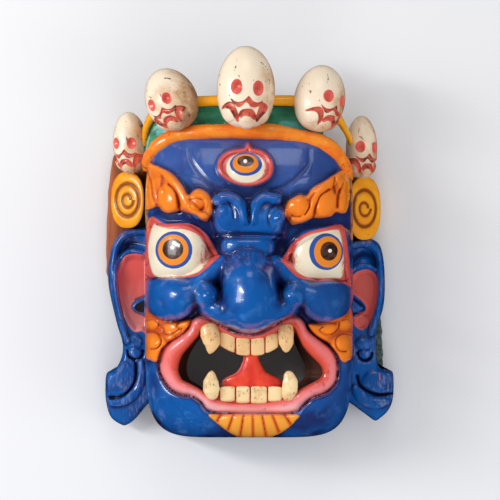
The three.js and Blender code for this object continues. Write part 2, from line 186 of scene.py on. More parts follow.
def inside(x, y, outline, reach=14.0):
    """Signed distance to a closed outline, positive inside. A place is inside when a line to its
    right crosses the outline an odd number of times."""
    closed = np.vstack([outline, outline[:1]])
    away, _ = nearest(x, y, closed, reach)
    low, high = outline.min(0), outline.max(0)
    near = (x > low[0]) & (x < high[0]) & (y > low[1]) & (y < high[1])
    px, py = x[near], y[near]
    if not len(px):
        return -away
    start, end = closed[:-1], closed[1:]
    rise = np.where(np.abs(end[:, 1] - start[:, 1]) < 1e-9, 1e-9, end[:, 1] - start[:, 1])
    odd = np.empty(len(px), bool)
    for block in np.array_split(np.arange(len(px)), 1 + len(px) * len(start) // 3_000_000):
        level = py[block, None]
        crosses = (start[:, 1] > level) != (end[:, 1] > level)
        at = start[:, 0] + (level - start[:, 1]) / rise * (end[:, 0] - start[:, 0])
        odd[block] = (crosses & (px[block, None] < at)).sum(1) % 2 == 1
    away[near] *= np.where(odd, 1.0, -1.0)
    away[~near] *= -1.0
    return away


def oval(x, y, centre, radii, turn=0.0):
    """Signed distance to an ellipse, positive inside, nearly exact for ellipses that are not slim."""
    across, up = turned(x - centre[0], y - centre[1], turn)
    return (1 - np.hypot(across / radii[0], up / radii[1])) * min(radii)


def turned(x, y, turn):
    """Places along and across an axis that is turned from the horizontal by an angle."""
    cosine, sine = np.cos(turn), np.sin(turn)
    return x * cosine + y * sine, y * cosine - x * sine


def smooth_max(one, other, blend):
    """The larger of two heights, rounded over a strip where they differ by less than the blend."""
    share = np.clip(0.5 + 0.5 * (one - other) / blend, 0, 1)
    return other + (one - other) * share + blend * share * (1 - share)


def smooth_step(value, start, end):
    """0 before the start, 1 after the end, and a cubic between that is level at both."""
    share = np.clip((value - start) / (end - start), 0, 1)
    return share * share * (3 - 2 * share)


def quarter_round(share):
    """Height over a rounded edge: 0 at the edge, 1 from a full share inwards, along a quarter circle."""
    return np.sqrt(1 - (1 - np.clip(share, 0, 1)) ** 2)


class Relief:
    """Heights in millimetres over a set of places, built up form by form."""

    def __init__(self, x, y):
        self.x, self.y = x, y
        self.height = np.zeros_like(x)

    def bump(self, centre, radii, rise, turn=0.0, power=2.0, blend=2.5):
        """Half an ellipsoid that stands on the ground and melts into what is there."""
        across, up = turned(self.x - centre[0], self.y - centre[1], turn)
        reach = np.abs(across / radii[0]) ** power + np.abs(up / radii[1]) ** power
        form = np.where(reach < 1, rise * np.sqrt(np.maximum(1 - reach, 0)), rise * (1 - reach))
        self.height = smooth_max(self.height, np.maximum(form, -60), blend)

    def ridge(self, points, radius, rise, blend=2.0, closed=False, taper=0.0):
        """A half-round ridge along a line that melts into what is there, thinner at its ends."""
        away, along = nearest(self.x, self.y, joined(points, closed), radius + 12)
        thick = radius * (1 - taper * np.abs(2 * along - 1) ** 3)
        reach = (away / thick) ** 2
        form = np.where(reach < 1, rise * np.sqrt(np.maximum(1 - reach, 0)), rise * (1 - reach))
        self.height = smooth_max(self.height, np.maximum(form, -60), blend)

    def swell(self, centre, radii, rise, turn=0.0, power=2.0):
        """A low mound added to what is there, steep at its edge."""
        across, up = turned(self.x - centre[0], self.y - centre[1], turn)
        reach = np.abs(across / radii[0]) ** power + np.abs(up / radii[1]) ** power
        self.height = self.height + rise * np.maximum(1 - reach, 0) ** 0.6

    def cord(self, points, radius, rise, closed=False, taper=0.0):
        """A half-round cord added along a line to what is there, thinner at its ends."""
        away, along = nearest(self.x, self.y, joined(points, closed), radius + 2)
        thick = radius * (1 - taper * np.abs(2 * along - 1) ** 3)
        self.height = self.height + rise * np.maximum(1 - (away / thick) ** 2, 0) ** 0.6

    def slab(self, outline, rise, edge):
        """A plate with a rounded edge added inside an outline. Gives the distance to its outline."""
        depth = inside(self.x, self.y, outline)
        self.height = self.height + rise * quarter_round(depth / edge) * (depth > 0)
        return depth

    def groove(self, points, width, depth, closed=False, taper=0.0):
        """A soft-bottomed cut along a line, as deep as a bell curve of the distance from it."""
        away, along = nearest(self.x, self.y, joined(points, closed), width * 3 + 1)
        fade = 1 - taper * np.abs(2 * along - 1) ** 4
        self.height = self.height - depth * fade * np.exp(-((away / width) ** 2)) * (away < width * 3)

    def dent(self, centre, radii, depth, turn=0.0):
        """A soft hollow, as deep as a bell curve of the distance from its middle."""
        across, up = turned(self.x - centre[0], self.y - centre[1], turn)
        self.height = self.height - depth * np.exp(-((across / radii[0]) ** 2) - (up / radii[1]) ** 2)


def joined(points, closed=False):
    """A smooth line through the points, brought back to its first one where it is closed."""
    line = smooth_line(points, 12 * len(points), closed)
    return np.vstack([line, line[:1]]) if closed else line


def blurred(field, radius):
    """Mean of a grid's neighbours weighted by a bell curve, first along rows and then along columns."""
    steps = np.arange(-int(3 * radius), int(3 * radius) + 1)
    weights = np.exp(-0.5 * (steps / radius) ** 2)
    weights /= weights.sum()
    result = np.pad(field, len(steps) // 2, mode="edge")
    for axis in (0, 1):
        result = np.apply_along_axis(np.convolve, axis, result, weights, "valid")
    return result


# Meshes


def seated(x, y, z):
    """Drawing millimetres as frame metres. The drawing is what the camera sees, so what lies deeper
    than the measured depth is drawn that much wider about the camera's axis."""
    wider = (CAMERA_HEIGHT - z) / (CAMERA_HEIGHT - MEASURED_DEPTH)
    return np.stack(
        [
            (CAMERA_OVER[0] + (x - CAMERA_OVER[0]) * wider) * MM,
            (CAMERA_OVER[1] + (y - CAMERA_OVER[1]) * wider + DRAWING_TO_FRAME_Y) * MM,
            z * MM,
        ],
        -1,
    ).reshape(-1, 3)


def grid_faces(rows, columns, wrap_rows=False, wrap_columns=False):
    """Four-cornered faces between neighbours of a grid, numbered row by row."""
    row = np.arange(rows if wrap_rows else rows - 1)
    column = np.arange(columns if wrap_columns else columns - 1)
    r, c = np.meshgrid(row, column, indexing="ij")
    below, beside = (r + 1) % rows, (c + 1) % columns
    corners = [r * columns + c, r * columns + beside, below * columns + beside, below * columns + c]
    return np.stack(corners, -1).reshape(-1, 4)


def build(name, points, faces, fields=None):
    """A smooth mesh object from whole arrays: its places, its faces by number of corners, and named
    values on its places. Its normals are made to point outwards."""
    mesh = bpy.data.meshes.new(name)
    corners = np.concatenate([face.ravel() for face in faces]).astype(np.int32)
    sizes = np.concatenate([np.full(len(face), face.shape[1]) for face in faces])
    mesh.vertices.add(len(points))
    mesh.vertices.foreach_set("co", np.ascontiguousarray(points, np.float32).ravel())
    mesh.loops.add(len(corners))
    mesh.loops.foreach_set("vertex_index", corners)
    mesh.polygons.add(len(sizes))
    mesh.polygons.foreach_set("loop_start", (np.cumsum(sizes) - sizes).astype(np.int32))
    mesh.update(calc_edges=True)
    for key, values in (fields or {}).items():
        layer = mesh.attributes.new(key, "FLOAT", "POINT")
        layer.data.foreach_set("value", np.ascontiguousarray(values, np.float32).ravel())
    mesh.validate()
    mesh.shade_smooth()
    if volume_of(points, faces) < 0:
        mesh.flip_normals()
    piece = bpy.data.objects.new(name, mesh)
    bpy.context.scene.collection.objects.link(piece)
    return piece


def volume_of(points, faces):
    """Six times the volume inside a closed mesh, as the sum of its faces' triple products."""
    total = 0.0
    for face in faces:
        first = points[face[:, 0]]
        for i in range(1, face.shape[1] - 1):
            total += np.einsum("ij,ij->", first, np.cross(points[face[:, i]], points[face[:, i + 1]]))
    return total


def together(name, parts):
    """One object of several closed forms. Each part is its places, its faces and its named values."""
    points, faces, fields, start = [], [], {}, 0
    names = sorted({key for _, _, values in parts for key in values})
    for place, face_sets, values in parts:
        points.append(place)
        faces.extend(face + start for face in face_sets)
        for key in names:
            fields.setdefault(key, []).append(np.broadcast_to(values.get(key, 0.0), (len(place),)).ravel())
        start += len(place)
    return build(name, np.vstack(points), faces, {key: np.concatenate(fields[key]) for key in names})


def capped(x, y, z, fields=None):
    """A closed form whose rows are rings: the grid of its rings, and a fan from a middle point at
    each end. Row and column are the two parameters."""
    rows, columns = x.shape
    ends = [np.array([[grid[0].mean()], [grid[-1].mean()]]) for grid in (x, y, z)]
    points = np.vstack([seated(x, y, z), seated(*ends)])
    ring = np.arange(columns)
    after = (ring + 1) % columns
    start, last = rows * columns, (rows - 1) * columns
    first = np.stack([np.full(columns, start), after, ring], -1)
    final = np.stack([np.full(columns, start + 1), last + ring, last + after], -1)
    values = {
        key: np.concatenate([grid.ravel(), [grid[0].mean(), grid[-1].mean()]])
        for key, grid in (fields or {}).items()
    }
    return points, [grid_faces(rows, columns, wrap_columns=True), first, final], values


def tube(line, radii, sides=24, flat=1.0, bulge=0.0):
    """A round profile carried along a line in space. The profile's own axes are the line's side
    direction in the plane of the face and the direction out of the face. Radii is one value a point."""
    line = np.asarray(line, float)
    along = np.gradient(line, axis=0)
    along /= np.linalg.norm(along, axis=1, keepdims=True)
    side = np.cross(np.array([0.0, 0.0, 1.0]), along)
    side /= np.maximum(np.linalg.norm(side, axis=1, keepdims=True), 1e-6)
    out = np.cross(along, side)
    angle = np.linspace(0, 2 * np.pi, sides, endpoint=False)
    radii = np.asarray(radii, float)[:, None, None]
    round_part = side[:, None] * np.cos(angle)[None, :, None]
    out_part = out[:, None] * (np.sin(angle) * flat + bulge)[None, :, None]
    place = line[:, None] + radii * (round_part + out_part)
    return place[..., 0], place[..., 1], place[..., 2]


def finish(piece, material):
    """Gives a piece its one material and its body."""
    piece.data.materials.clear()
    piece.data.materials.append(material)
    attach(piece, "root")
    return piece


# Face

OUTLINE_POWER = 6.2
FACE_MIDDLE_Y = -38.0

FROWN_LEFT = [(-61, 98), (-60, 90), (-55, 78), (-42, 62), (-28, 52.5), (-14, 47), (-5, 39), (-1, 27), (0, 18)]
FROWN_RIGHT = [
    (60, 98), (60, 89), (59, 78), (50, 67.5), (40, 59.5), (24, 51.5), (12, 46), (5, 39), (1, 27), (0, 18),
]

THIRD_EYE = [
    (-1, 100), (3, 94.5), (12, 92), (20, 86.5), (24, 79), (24, 71), (20.5, 64), (13, 59), (4, 56.5),
    (-6, 56.5), (-17, 59.5), (-26, 65), (-31, 72), (-31.5, 79), (-28, 86), (-20, 91.5), (-10, 93.5),
    (-4, 95),
]
LEFT_LID = [
    (-97, 26), (-88, 20.5), (-82, 18.5), (-69, 19), (-59, 18.5), (-49, 14), (-42, 7), (-36, -2), (-32, -10),
    (-29.5, -14), (-34, -18), (-40, -24), (-46, -29), (-53, -33.5), (-69, -35.5), (-94, -35), (-106, -34),
    (-106, -8), (-105, 7), (-101, 20),
]
LEFT_WHITE = [
    (-94, 20), (-92, 17.5), (-79, 14.5), (-64, 13.5), (-52, 8.5), (-45, 0.5), (-40.5, -9), (-40, -17),
    (-45, -25), (-53, -31), (-69, -34.5), (-92, -34.5), (-99, -24), (-101, -5), (-98, 12),
]
RIGHT_LID = [
    (32, -18), (37, -10.5), (41, -3.5), (48, 4), (56, 9), (66, 12.5), (76, 14.5), (86, 17.5), (93, 17),
    (96, 12), (98, 1.5), (100, -15.5), (101, -29.5), (102, -44), (95, -41), (86, -38), (69, -38.5),
    (56, -37), (48, -34.5), (41, -28), (34, -20.5),
]
RIGHT_WHITE = [
    (45, -9), (51, 1.5), (60, 7.5), (73, 11), (88, 13), (92, 8.5), (94.5, -7.6), (95.5, -22.6), (93, -35),
    (86, -36), (61, -35.5), (48, -29.6), (44, -20),
]
LEFT_LID_ROLL = [
    (-103.5, -20), (-103.5, -4), (-102, 9), (-98, 19), (-95, 22), (-87, 19), (-82, 17), (-69, 17),
    (-58, 15.5), (-48, 10), (-41, 3), (-35.5, -6), (-31.5, -13), (-36, -20), (-42, -26), (-49, -31),
]
RIGHT_LID_ROLL = [
    (47, -32.5), (40, -26), (35, -19.5), (39, -11), (44, -4), (51, 2.5), (60, 8), (70, 11.5), (80, 13.5),
    (90, 15.5), (94.5, 11), (96.5, 1), (98.5, -14), (99.5, -29), (100, -40),
]
CHIN_CHIP = from_photo([(145, 404), (150, 413), (154, 418), (158.5, 424)])
GLINT = (2.0, 2.0)
EYES = (
    # ring, amber, pupil and glint of the third, the left and the right eye, each a centre and radii
    (
        ((-3, 78.4), (16.2, 11.8)), ((-3.5, 78.9), (12.9, 9.5)), ((-3.5, 81.2), (8.3, 5.4)),
        ((-3.8, 81.2), GLINT),
    ),
    (
        ((-75.1, -7.6), (18.4, 18.7)), ((-75.8, -7.5), (15.3, 15.5)), ((-76.1, -6.6), (10.4, 10.2)),
        ((-76.7, -5.1), GLINT),
    ),
    (
        ((77.2, -9.3), (17.0, 18.4)), ((78.8, -9.6), (13.7, 15.6)), ((80, -8.7), (8.6, 9.5)),
        ((81, -8.4), GLINT),
    ),
)
THIRD_WHITE = ((-3.2, 74.7), (20.4, 15.6))
FLUSHED = (
    # centre and radii of the reddened corners of the eyes
    ((-40, -16), (13, 17)), ((38, -17), (13, 17)), ((19, 74), (7, 12)), ((96, -20), (5, 22)),
    ((-70, -36), (30, 3)),
)

LEFT_FLAME = [
    (-106, 82), (-96, 78), (-88, 75), (-78, 70), (-71, 63), (-65, 55), (-60.5, 48), (-55, 52), (-50, 54),
    (-43, 51), (-38, 45), (-36, 36), (-37.5, 28), (-42, 21), (-47, 22), (-53, 27), (-63, 30), (-68, 31.4),
    (-80.4, 29.3), (-87, 31.4), (-91, 35.5), (-100, 33.4), (-107, 36), (-108, 60),
]
RIGHT_FLAME = [
    (36, 36), (36.6, 27), (42.7, 18), (51, 19), (56.5, 21), (64, 24), (72, 24), (82, 26), (87, 30),
    (93, 29), (98, 32), (101, 51), (98, 72), (87, 69), (77, 62.5), (67, 57), (62, 53), (57.5, 47),
    (51, 48), (44, 45), (38, 41),
]
LEFT_WHISKER = [
    (-106, -66), (-98, -71), (-90, -76), (-81, -79), (-68, -79), (-57, -77), (-60, -85), (-68, -96),
    (-83, -104), (-89, -111), (-92, -119), (-98, -118), (-106, -110),
]
RIGHT_WHISKER = [
    (59, -82), (70, -81), (82, -79), (92, -75), (98, -71), (103, -68), (104, -110), (98, -119), (93, -119),
    (88, -111), (79, -101), (66, -93),
]
LIP_OUTSIDE = from_photo([
    (200.3, 316.3), (192.6, 319.8), (187.7, 329.6), (179.3, 336.7), (166.7, 343.7), (160.3, 352),
    (158.2, 364.7), (161, 376), (171, 390), (182, 395.6), (192, 397), (200.3, 402.6), (208.8, 411.7),
    (238, 413.8), (270, 413.8), (295.7, 413), (302.8, 406.8), (312.6, 398.4), (325, 394), (335, 384.4),
    (338, 371.7), (337, 357.7), (332, 349.3), (319.6, 340.2), (308.4, 331), (304.2, 322.6), (298.6, 317),
    (291.5, 316.3), (281.7, 320.5), (266.3, 329.6), (252.2, 334.6), (235.4, 332.4), (221.4, 325.4),
    (210.2, 319.8),
])
LIP_INSIDE = from_photo([
    (201.5, 331), (207, 327.5), (213, 328), (222.8, 334), (235.4, 338.8), (250.8, 340.2), (263.5, 338.8),
    (277.5, 333), (286, 327.5), (293, 328), (298, 337), (302.8, 346.5), (311, 356), (319.6, 364.7),
    (322.4, 371.7), (320, 378), (311, 383), (302, 387.5), (292, 394), (281, 399), (267, 402), (250, 403),
    (232, 402.5), (218, 399), (207, 393), (198, 387.5), (190.5, 383.7), (182, 378.8), (178.6, 369),
    (182, 356), (192, 343.7), (199, 336),
])
BEARD = [
    (-40, -172), (-20, -171.5), (10, -171.5), (48, -172), (46, -179), (35.5, -188.3), (19, -196),
    (3, -197.5), (-8, -195.5), (-19, -190.5), (-33, -180),
]


def face_share(sizes, x, y):
    """How far out a place lies, 0 in the middle and 1 on the outline: a superellipse's radius."""
    across = np.abs(x) / mm(sizes.half_width)
    up = np.abs(y - FACE_MIDDLE_Y) / mm(sizes.half_height)
    return (across**OUTLINE_POWER + up**OUTLINE_POWER) ** (1 / OUTLINE_POWER)


def face_ground(sizes, share):
    """The face's plain dome: side depth, plus the rest times the root of one less the share to the fourth."""
    rest = mm(sizes.face_depth) - mm(sizes.side_depth)
    return mm(sizes.side_depth) + rest * np.sqrt(np.maximum(1 - np.minimum(share, 1) ** 4, 0))


def on_face(sizes, x, y, lift=0.0):
    """Height of the plain dome at a place, plus a lift."""
    return face_ground(sizes, face_share(sizes, np.asarray(x, float), np.asarray(y, float))) + lift


def square_lines(count, edge_lines=9, even_share=0.965):
    """Grid lines from -1 to 1, even as far as the even share, then spaced so that a dome over them
    falls by equal steps."""
    even = np.linspace(0, even_share, count - edge_lines + 1)
    fall = np.linspace(np.sqrt(1 - even_share**4), 0, edge_lines + 1)[1:]
    half = np.concatenate([even, (1 - fall**2) ** 0.25])
    return np.concatenate([-half[:0:-1], half])


def carve_brow(relief):
    """Forehead, frown lines, curls over the nose and the roll under them."""
    relief.swell((-1, 78), (64, 52), 3.0, power=3)
    for side in (-1, 1):
        relief.bump((side * 72, 42), (42, 26), 7, blend=8)
    relief.dent((-31, -2), (9, 11), 9)
    relief.dent((33, -4), (9, 11), 9)
    relief.bump((0, 21), (35, 22), 16, power=2.6, blend=8)
    relief.bump((-18.5, 27), (19.5, 20), 20, blend=8)
    relief.bump((18.5, 27), (19.5, 20), 20, blend=8)
    relief.ridge([(-31, 42), (-22, 45), (-12, 41), (-6.5, 33), (-4, 22)], 7, 21.5, blend=7)
    relief.ridge([(27, 43), (17, 44.5), (9.5, 40), (5, 32), (3.5, 22)], 7, 21.5, blend=7)
    relief.bump((-26, 31), (8.5, 9), 22, blend=5)
    relief.bump((30, 25), (6.5, 9.5), 21.5, turn=-0.6, blend=5)
    curl = [(-36, 40), (-30, 44.5), (-23, 43.5), (-18, 37), (-15.5, 30), (-15, 24)]
    relief.groove(curl, 1.3, 2.4, taper=0.5)
    relief.groove([(33, 38), (25, 37), (20, 31), (19, 23), (22, 15)], 1.3, 2.4, taper=0.5)
    relief.groove(FROWN_LEFT, 2.2, 2.0, taper=0.9)
    relief.groove(FROWN_RIGHT, 2.2, 2.0, taper=0.9)
    relief.groove([(-0.5, 41), (0, 30), (0.5, 19)], 1.5, 5, taper=0.6)
    relief.bump((-1.5, -4.5), (27, 11.5), 17, power=3.2, blend=3)
    relief.groove([(-32, 8), (-18, 8.5), (0, 9), (18, 8.5), (31, 7)], 1.6, 4)


def carve_nose(relief, sizes):
    """Bridge, bulb, wings and nostril balls."""
    rise = mm(sizes.nose_rise)
    relief.bump((-1, -31), (28, 25), rise * 0.7, blend=14)
    relief.bump((-29, -69), (27, 15), 31, turn=-0.47, blend=13)
    relief.bump((29, -69), (26, 15), 31, turn=0.5, blend=13)
    relief.bump((0.5, -42), (30, 27), rise * 0.93, blend=14)
    relief.bump((1.5, -60), (33.5, 32.5), rise, blend=12)
    relief.bump((-42, -54), (14, 15), 35, blend=6)
    relief.bump((43, -54.5), (13.5, 15), 34, blend=6)
    for rim in (
        [(-53, -64), (-55.5, -54), (-52, -44), (-43, -38), (-33, -41), (-29, -49)],
        [(54, -64), (56, -54), (52, -44), (44, -38), (34, -42), (31, -50)],
    ):
        relief.groove(rim, 1.5, 1.6, taper=0.7)


def carve_cheeks(relief, sizes):
    """Round cheeks, the saddle between them and the nostrils, and the swell that climbs from each
    cheek under the eye to the bridge."""
    rise = mm(sizes.cheek_rise)
    relief.bump((-78.5, -56), (27.5, 23.5), rise, blend=8)
    relief.bump((77.5, -58.5), (27, 23), rise, blend=8)
    relief.ridge([(-74, -54), (-62, -53), (-50, -50)], 14, 22, blend=12)
    relief.ridge([(74, -56), (62, -54), (50, -51)], 14, 22, blend=12)
    relief.ridge([(-94, -48), (-74, -48), (-59, -45), (-47, -38), (-36, -29), (-25, -24)], 13, 19, blend=14)
    relief.ridge([(94, -52), (74, -52), (58, -48), (47, -41), (36, -31), (25, -25)], 13, 19, blend=14)


def carve_eye(relief, centre, radii, rise, lid, lid_radius, lid_rise):
    """Eyeball inside its lids: a bump, and a cord along the lids that fades at both ends."""
    relief.bump(centre, radii, rise, power=2.3, blend=1.5)
    relief.cord(lid, lid_radius, lid_rise, taper=0.35)


def carve_flames(relief, sizes):
    """Orange flames over the eyes: plates with lobes, ribbons and fine cuts."""
    rise = mm(sizes.flame_rise)
    left = relief.slab(smooth_line(LEFT_FLAME, 200, True), rise, 4)
    relief.swell((-81, 44), (10.5, 15.5), 6.5, turn=0.15)
    relief.swell((-99, 50), (6.5, 22), 4.5, turn=0.12)
    relief.cord([(-88, 72), (-77, 64), (-68, 50), (-61, 37), (-52, 27.5), (-43, 26)], 6.0, 5, taper=0.5)
    curl = [(-60, 36), (-50, 27.5), (-41, 29), (-39.5, 38), (-42, 46), (-51, 50), (-58, 47)]
    relief.cord(curl, 6, 4, taper=0.3)
    relief.swell((-50, 40), (9.5, 9.5), 4)
    relief.groove([(-80.4, 58), (-75.5, 54), (-72, 47), (-70.5, 39), (-69.5, 31)], 1.2, 7, taper=0.4)
    relief.groove([(-102, 72), (-98, 60), (-96, 46), (-92, 37)], 1.1, 4, taper=0.5)
    relief.groove([(-88, 72), (-86.5, 64), (-87, 56), (-85, 52), (-87, 47)], 1.8, 3, taper=0.5)
    relief.groove([(-59, 44), (-57, 35), (-49.5, 32), (-44.5, 36), (-45, 42), (-50, 44)], 1.2, 2.4, taper=0.5)
    right = relief.slab(smooth_line(RIGHT_FLAME, 200, True), rise, 4)
    relief.swell((49, 36.5), (11, 10.5), 6)
    relief.swell((77, 39), (10, 14.5), 6.5, turn=-0.44)
    relief.cord([(92, 69), (83, 61), (73, 53), (65.5, 42), (61, 30), (54, 22), (44, 23)], 5.4, 4.5, taper=0.5)
    relief.swell((93, 60), (5.5, 13), 5, turn=0.3)
    relief.swell((94, 42), (5.5, 12), 4.5)
    relief.groove([(66, 50), (61.5, 43), (60, 35), (56, 28)], 1.1, 4, taper=0.4)
    relief.groove([(80, 53), (72, 47), (68, 39), (65.5, 31), (64, 25)], 1.2, 6, taper=0.4)
    relief.groove([(86, 66), (84.5, 57), (86, 48)], 1.1, 4, taper=0.5)
    relief.groove([(95, 60), (89.5, 48), (88, 34)], 1.1, 4, taper=0.5)
    return np.maximum(left, right)


def carve_whiskers(relief):
    """Orange curls beside the mouth."""
    left = relief.slab(smooth_line(LEFT_WHISKER, 120, True), 8, 3)
    relief.swell((-97, -98), (8.5, 8.5), 5)
    relief.swell((-98, -82), (8, 7), 4.5)
    relief.swell((-82, -97), (9, 8), 4)
    relief.swell((-77, -86), (10, 6.5), 4)
    relief.swell((-64, -82), (6, 4), 3)
    curl = [(-101, -89.5), (-93, -90), (-88.5, -95), (-88, -101), (-92, -106), (-98, -106.5)]
    relief.groove(curl, 0.9, 3.5)
    relief.groove([(-90, -82), (-86, -86), (-84, -91), (-78, -92), (-70, -87)], 0.9, 3)
    relief.groove([(-70, -80), (-72, -84), (-67, -87)], 0.8, 2.5)
    relief.groove([(-103, -79), (-97, -77), (-91, -80)], 0.8, 2.5)
    right = relief.slab(smooth_line(RIGHT_WHISKER, 120, True), 8, 3)
    relief.swell((94.5, -100.5), (8, 8), 5.5)
    relief.swell((80, -87), (10, 6.5), 4)
    relief.swell((95, -82), (8, 7.5), 4)
    relief.groove([(102, -93), (95, -91.5), (88, -95), (87, -102), (90, -108), (97, -109)], 0.9, 3.5)
    relief.groove([(90, -80), (89, -86), (84, -91), (77, -92), (71, -88), (74, -84)], 0.9, 3)
    relief.groove([(102, -80), (98, -77), (93, -78)], 0.8, 2.5)
    return np.maximum(left, right)


def carve_mouth(relief, sizes):
    """Rolled lips between their two outlines, highest near the outer one, and a groove round them."""
    outside = inside(relief.x, relief.y, smooth_line(LIP_OUTSIDE, 260, True), 30)
    opening = inside(relief.x, relief.y, smooth_line(LIP_INSIDE, 260, True), 30)
    reach = np.clip(outside / np.maximum(outside - opening, 0.5), 0, 1)
    roll = np.sqrt(np.maximum(1 - (2 * reach**0.8 - 1) ** 2, 0))
    full = np.clip((outside - opening) / 14, 0.45, 1)
    relief.height = np.where(outside > 0, 2 + mm(sizes.lip_rise) * roll * full, relief.height)
    relief.groove(LIP_OUTSIDE, 1.5, 3.5, closed=True)
    return outside, reach


def carve_jaw(relief):
    """Jaw roll round the chin, jowls, chin boss and the beard's locks. The locks are the size of a
    sine of the angle round a point above the chin, itself swayed by a slower sine."""
    jaw = [
        (-98, -108), (-95, -150), (-74, -178), (-38, -189), (0, -190), (38, -189), (74, -178), (95, -150),
        (98, -108),
    ]
    relief.ridge(jaw, 18, 17, blend=9)
    relief.bump((-64, -163), (40, 21), 20, turn=-0.5, blend=10)
    relief.bump((68, -162), (38, 21), 20, turn=0.55, blend=10)
    relief.bump((3, -186), (52, 20), 23, blend=5)
    beard = relief.slab(smooth_line(BEARD, 120, True), 3, 2.5)
    centre = (4.0, -118.0)
    angle = np.arctan2(relief.x - centre[0], centre[1] - relief.y)
    lock = np.abs(np.sin(angle * 17.5 + 0.25 * np.sin(angle * 5)))
    rise = 3.2 * quarter_round(lock) * quarter_round(beard / 3)
    relief.height = relief.height + np.where(beard > 0, rise, 0)
    return beard, np.where(beard > 0.5, lock, 1.0)


def carve_third_eye(relief):
    """Plate, eyeball and rolled lids of the eye on the forehead. The lids are the plate's outline
    drawn in a little towards its middle."""
    relief.slab(smooth_line(THIRD_EYE, 160, True), 4, 3)
    relief.bump((-3.2, 74.7), (21.4, 16.6), 10.5, blend=1)
    relief.cord([(x * 0.95 - 0.2, (y - 74) * 0.95 + 74) for x, y in THIRD_EYE], 3.0, 3.2, closed=True)


def face_fields(x, y, height, flames, whiskers, beard, lips):
    """Signed distances in millimetres to the edges of the painted areas, positive inside."""

    def within(outline):
        return inside(x, y, smooth_line(outline, 160, True))

    white = np.maximum.reduce([within(LEFT_WHITE), within(RIGHT_WHITE), oval(x, y, *THIRD_WHITE)])
    lids = np.maximum.reduce([within(lid) for lid in (LEFT_LID, RIGHT_LID, THIRD_EYE)])
    rings = [np.maximum.reduce([oval(x, y, *eye[part]) for eye in EYES]) for part in range(4)]
    flush = sum(
        np.exp(-(((x - centre[0]) / radii[0]) ** 2) - ((y - centre[1]) / radii[1]) ** 2)
        for centre, radii in FLUSHED
    )
    chip, _ = nearest(x, y, joined(CHIN_CHIP))
    return {
        "orange": np.maximum.reduce([flames, whiskers, beard[0]]),
        "beard": beard[0],
        "lock": beard[1],
        "lid": lids,
        "lip": lips[0],
        "lip_in": lips[1],
        "white": white,
        "ring": rings[0],
        "amber": rings[1],
        "pupil": rings[2],
        "glint": rings[3],
        "flush": flush,
        "chip": 3 - chip,
        "crease": np.clip((blurred(height, 1.3) - height) / 0.9, -1, 1),
        "hollow": np.clip((blurred(height, 6) - height) / 6, -1, 1),
        "skin": np.ones_like(x),
    }


def face_piece(sizes):
    """The face: heights over a square grid drawn onto the superellipse, side walls down to the floor
    and a flat back. A place's distance out is its larger grid coordinate, and its direction is kept."""
    u, v = np.meshgrid(square_lines(118), square_lines(174), indexing="ij")
    larger = np.maximum(np.abs(u), np.abs(v))
    length_of = (np.abs(u) ** OUTLINE_POWER + np.abs(v) ** OUTLINE_POWER) ** (1 / OUTLINE_POWER)
    scale = np.where(larger > 0, larger / np.maximum(length_of, 1e-9), 0)
    x = mm(sizes.half_width) * u * scale
    y = FACE_MIDDLE_Y + mm(sizes.half_height) * v * scale
    relief = Relief(x, y)
    beard = carve_jaw(relief)
    carve_brow(relief)
    carve_eye(relief, (-77, -10), (35, 30), 17, LEFT_LID_ROLL, 3.8, 4.8)
    carve_eye(relief, (77, -12), (34, 30), 17, RIGHT_LID_ROLL, 3.8, 4.8)
    carve_third_eye(relief)
    flames = carve_flames(relief, sizes)
    whiskers = carve_whiskers(relief)
    carve_nose(relief, sizes)
    carve_cheeks(relief, sizes)
    lips = carve_mouth(relief, sizes)
    z = face_ground(sizes, larger) + relief.height
    fields = face_fields(x, y, relief.height, flames, whiskers, beard, lips)
    return close_block("face", x, y, z, fields)


def close_block(name, x, y, z, fields, rings=7):
    """Side walls from the grid's edge down to the floor, and one flat face under it. Down the walls
    every distance falls, so that no painted area reaches far round the edge."""
    rows, columns = x.shape
    index = np.arange(rows * columns).reshape(rows, columns)
    edge = np.concatenate([index[0, :-1], index[:-1, -1], index[-1, :0:-1], index[:0:-1, 0]])
    down = np.linspace(1, 0, rings + 1)[1:, None]
    ex, ey, ez = (grid.ravel()[edge] for grid in (x, y, z))
    points = np.vstack([
        seated(x, y, z),
        seated(np.broadcast_to(ex, (rings, len(edge))), np.broadcast_to(ey, (rings, len(edge))), ez * down),
    ])
    wall = np.vstack([edge[None], rows * columns + np.arange(rings * len(edge)).reshape(rings, -1)])
    after = np.roll(wall, -1, axis=1)
    sides = np.stack([wall[:-1], wall[1:], after[1:], after[:-1]], -1).reshape(-1, 4)
    below = (1 - down) * 30
    values = {}
    for key, grid in fields.items():
        at_edge = np.broadcast_to(grid.ravel()[edge], (rings, len(edge)))
        kept = key in ("skin", "lock", "chip")
        plain = key in ("crease", "hollow", "flush")
        at_wall = at_edge if kept else at_edge * 0 if plain else at_edge - below
        values[key] = np.concatenate([grid.ravel(), at_wall.ravel()])
    return build(name, points, [grid_faces(rows, columns), sides, wall[-1:, ::-1]], values)


def prism(name, outline, low, high):
    """A straight-sided plug through an outline, closed by flat ends."""
    return plug(name, [outline, outline], [low, high])


def plug(name, outlines, heights):
    """A plug whose rings are outlines of equally many points at rising heights, closed by flat ends."""
    rows, count = len(outlines), len(outlines[0])
    x, y = np.stack([line[:, 0] for line in outlines]), np.stack([line[:, 1] for line in outlines])
    z = np.array(heights, float)[:, None] * np.ones(count)
    ring = np.arange(count)
    sides = grid_faces(rows, count, wrap_columns=True)
    return build(name, seated(x, y, z), [sides, ring[None, ::-1], (ring + (rows - 1) * count)[None]])


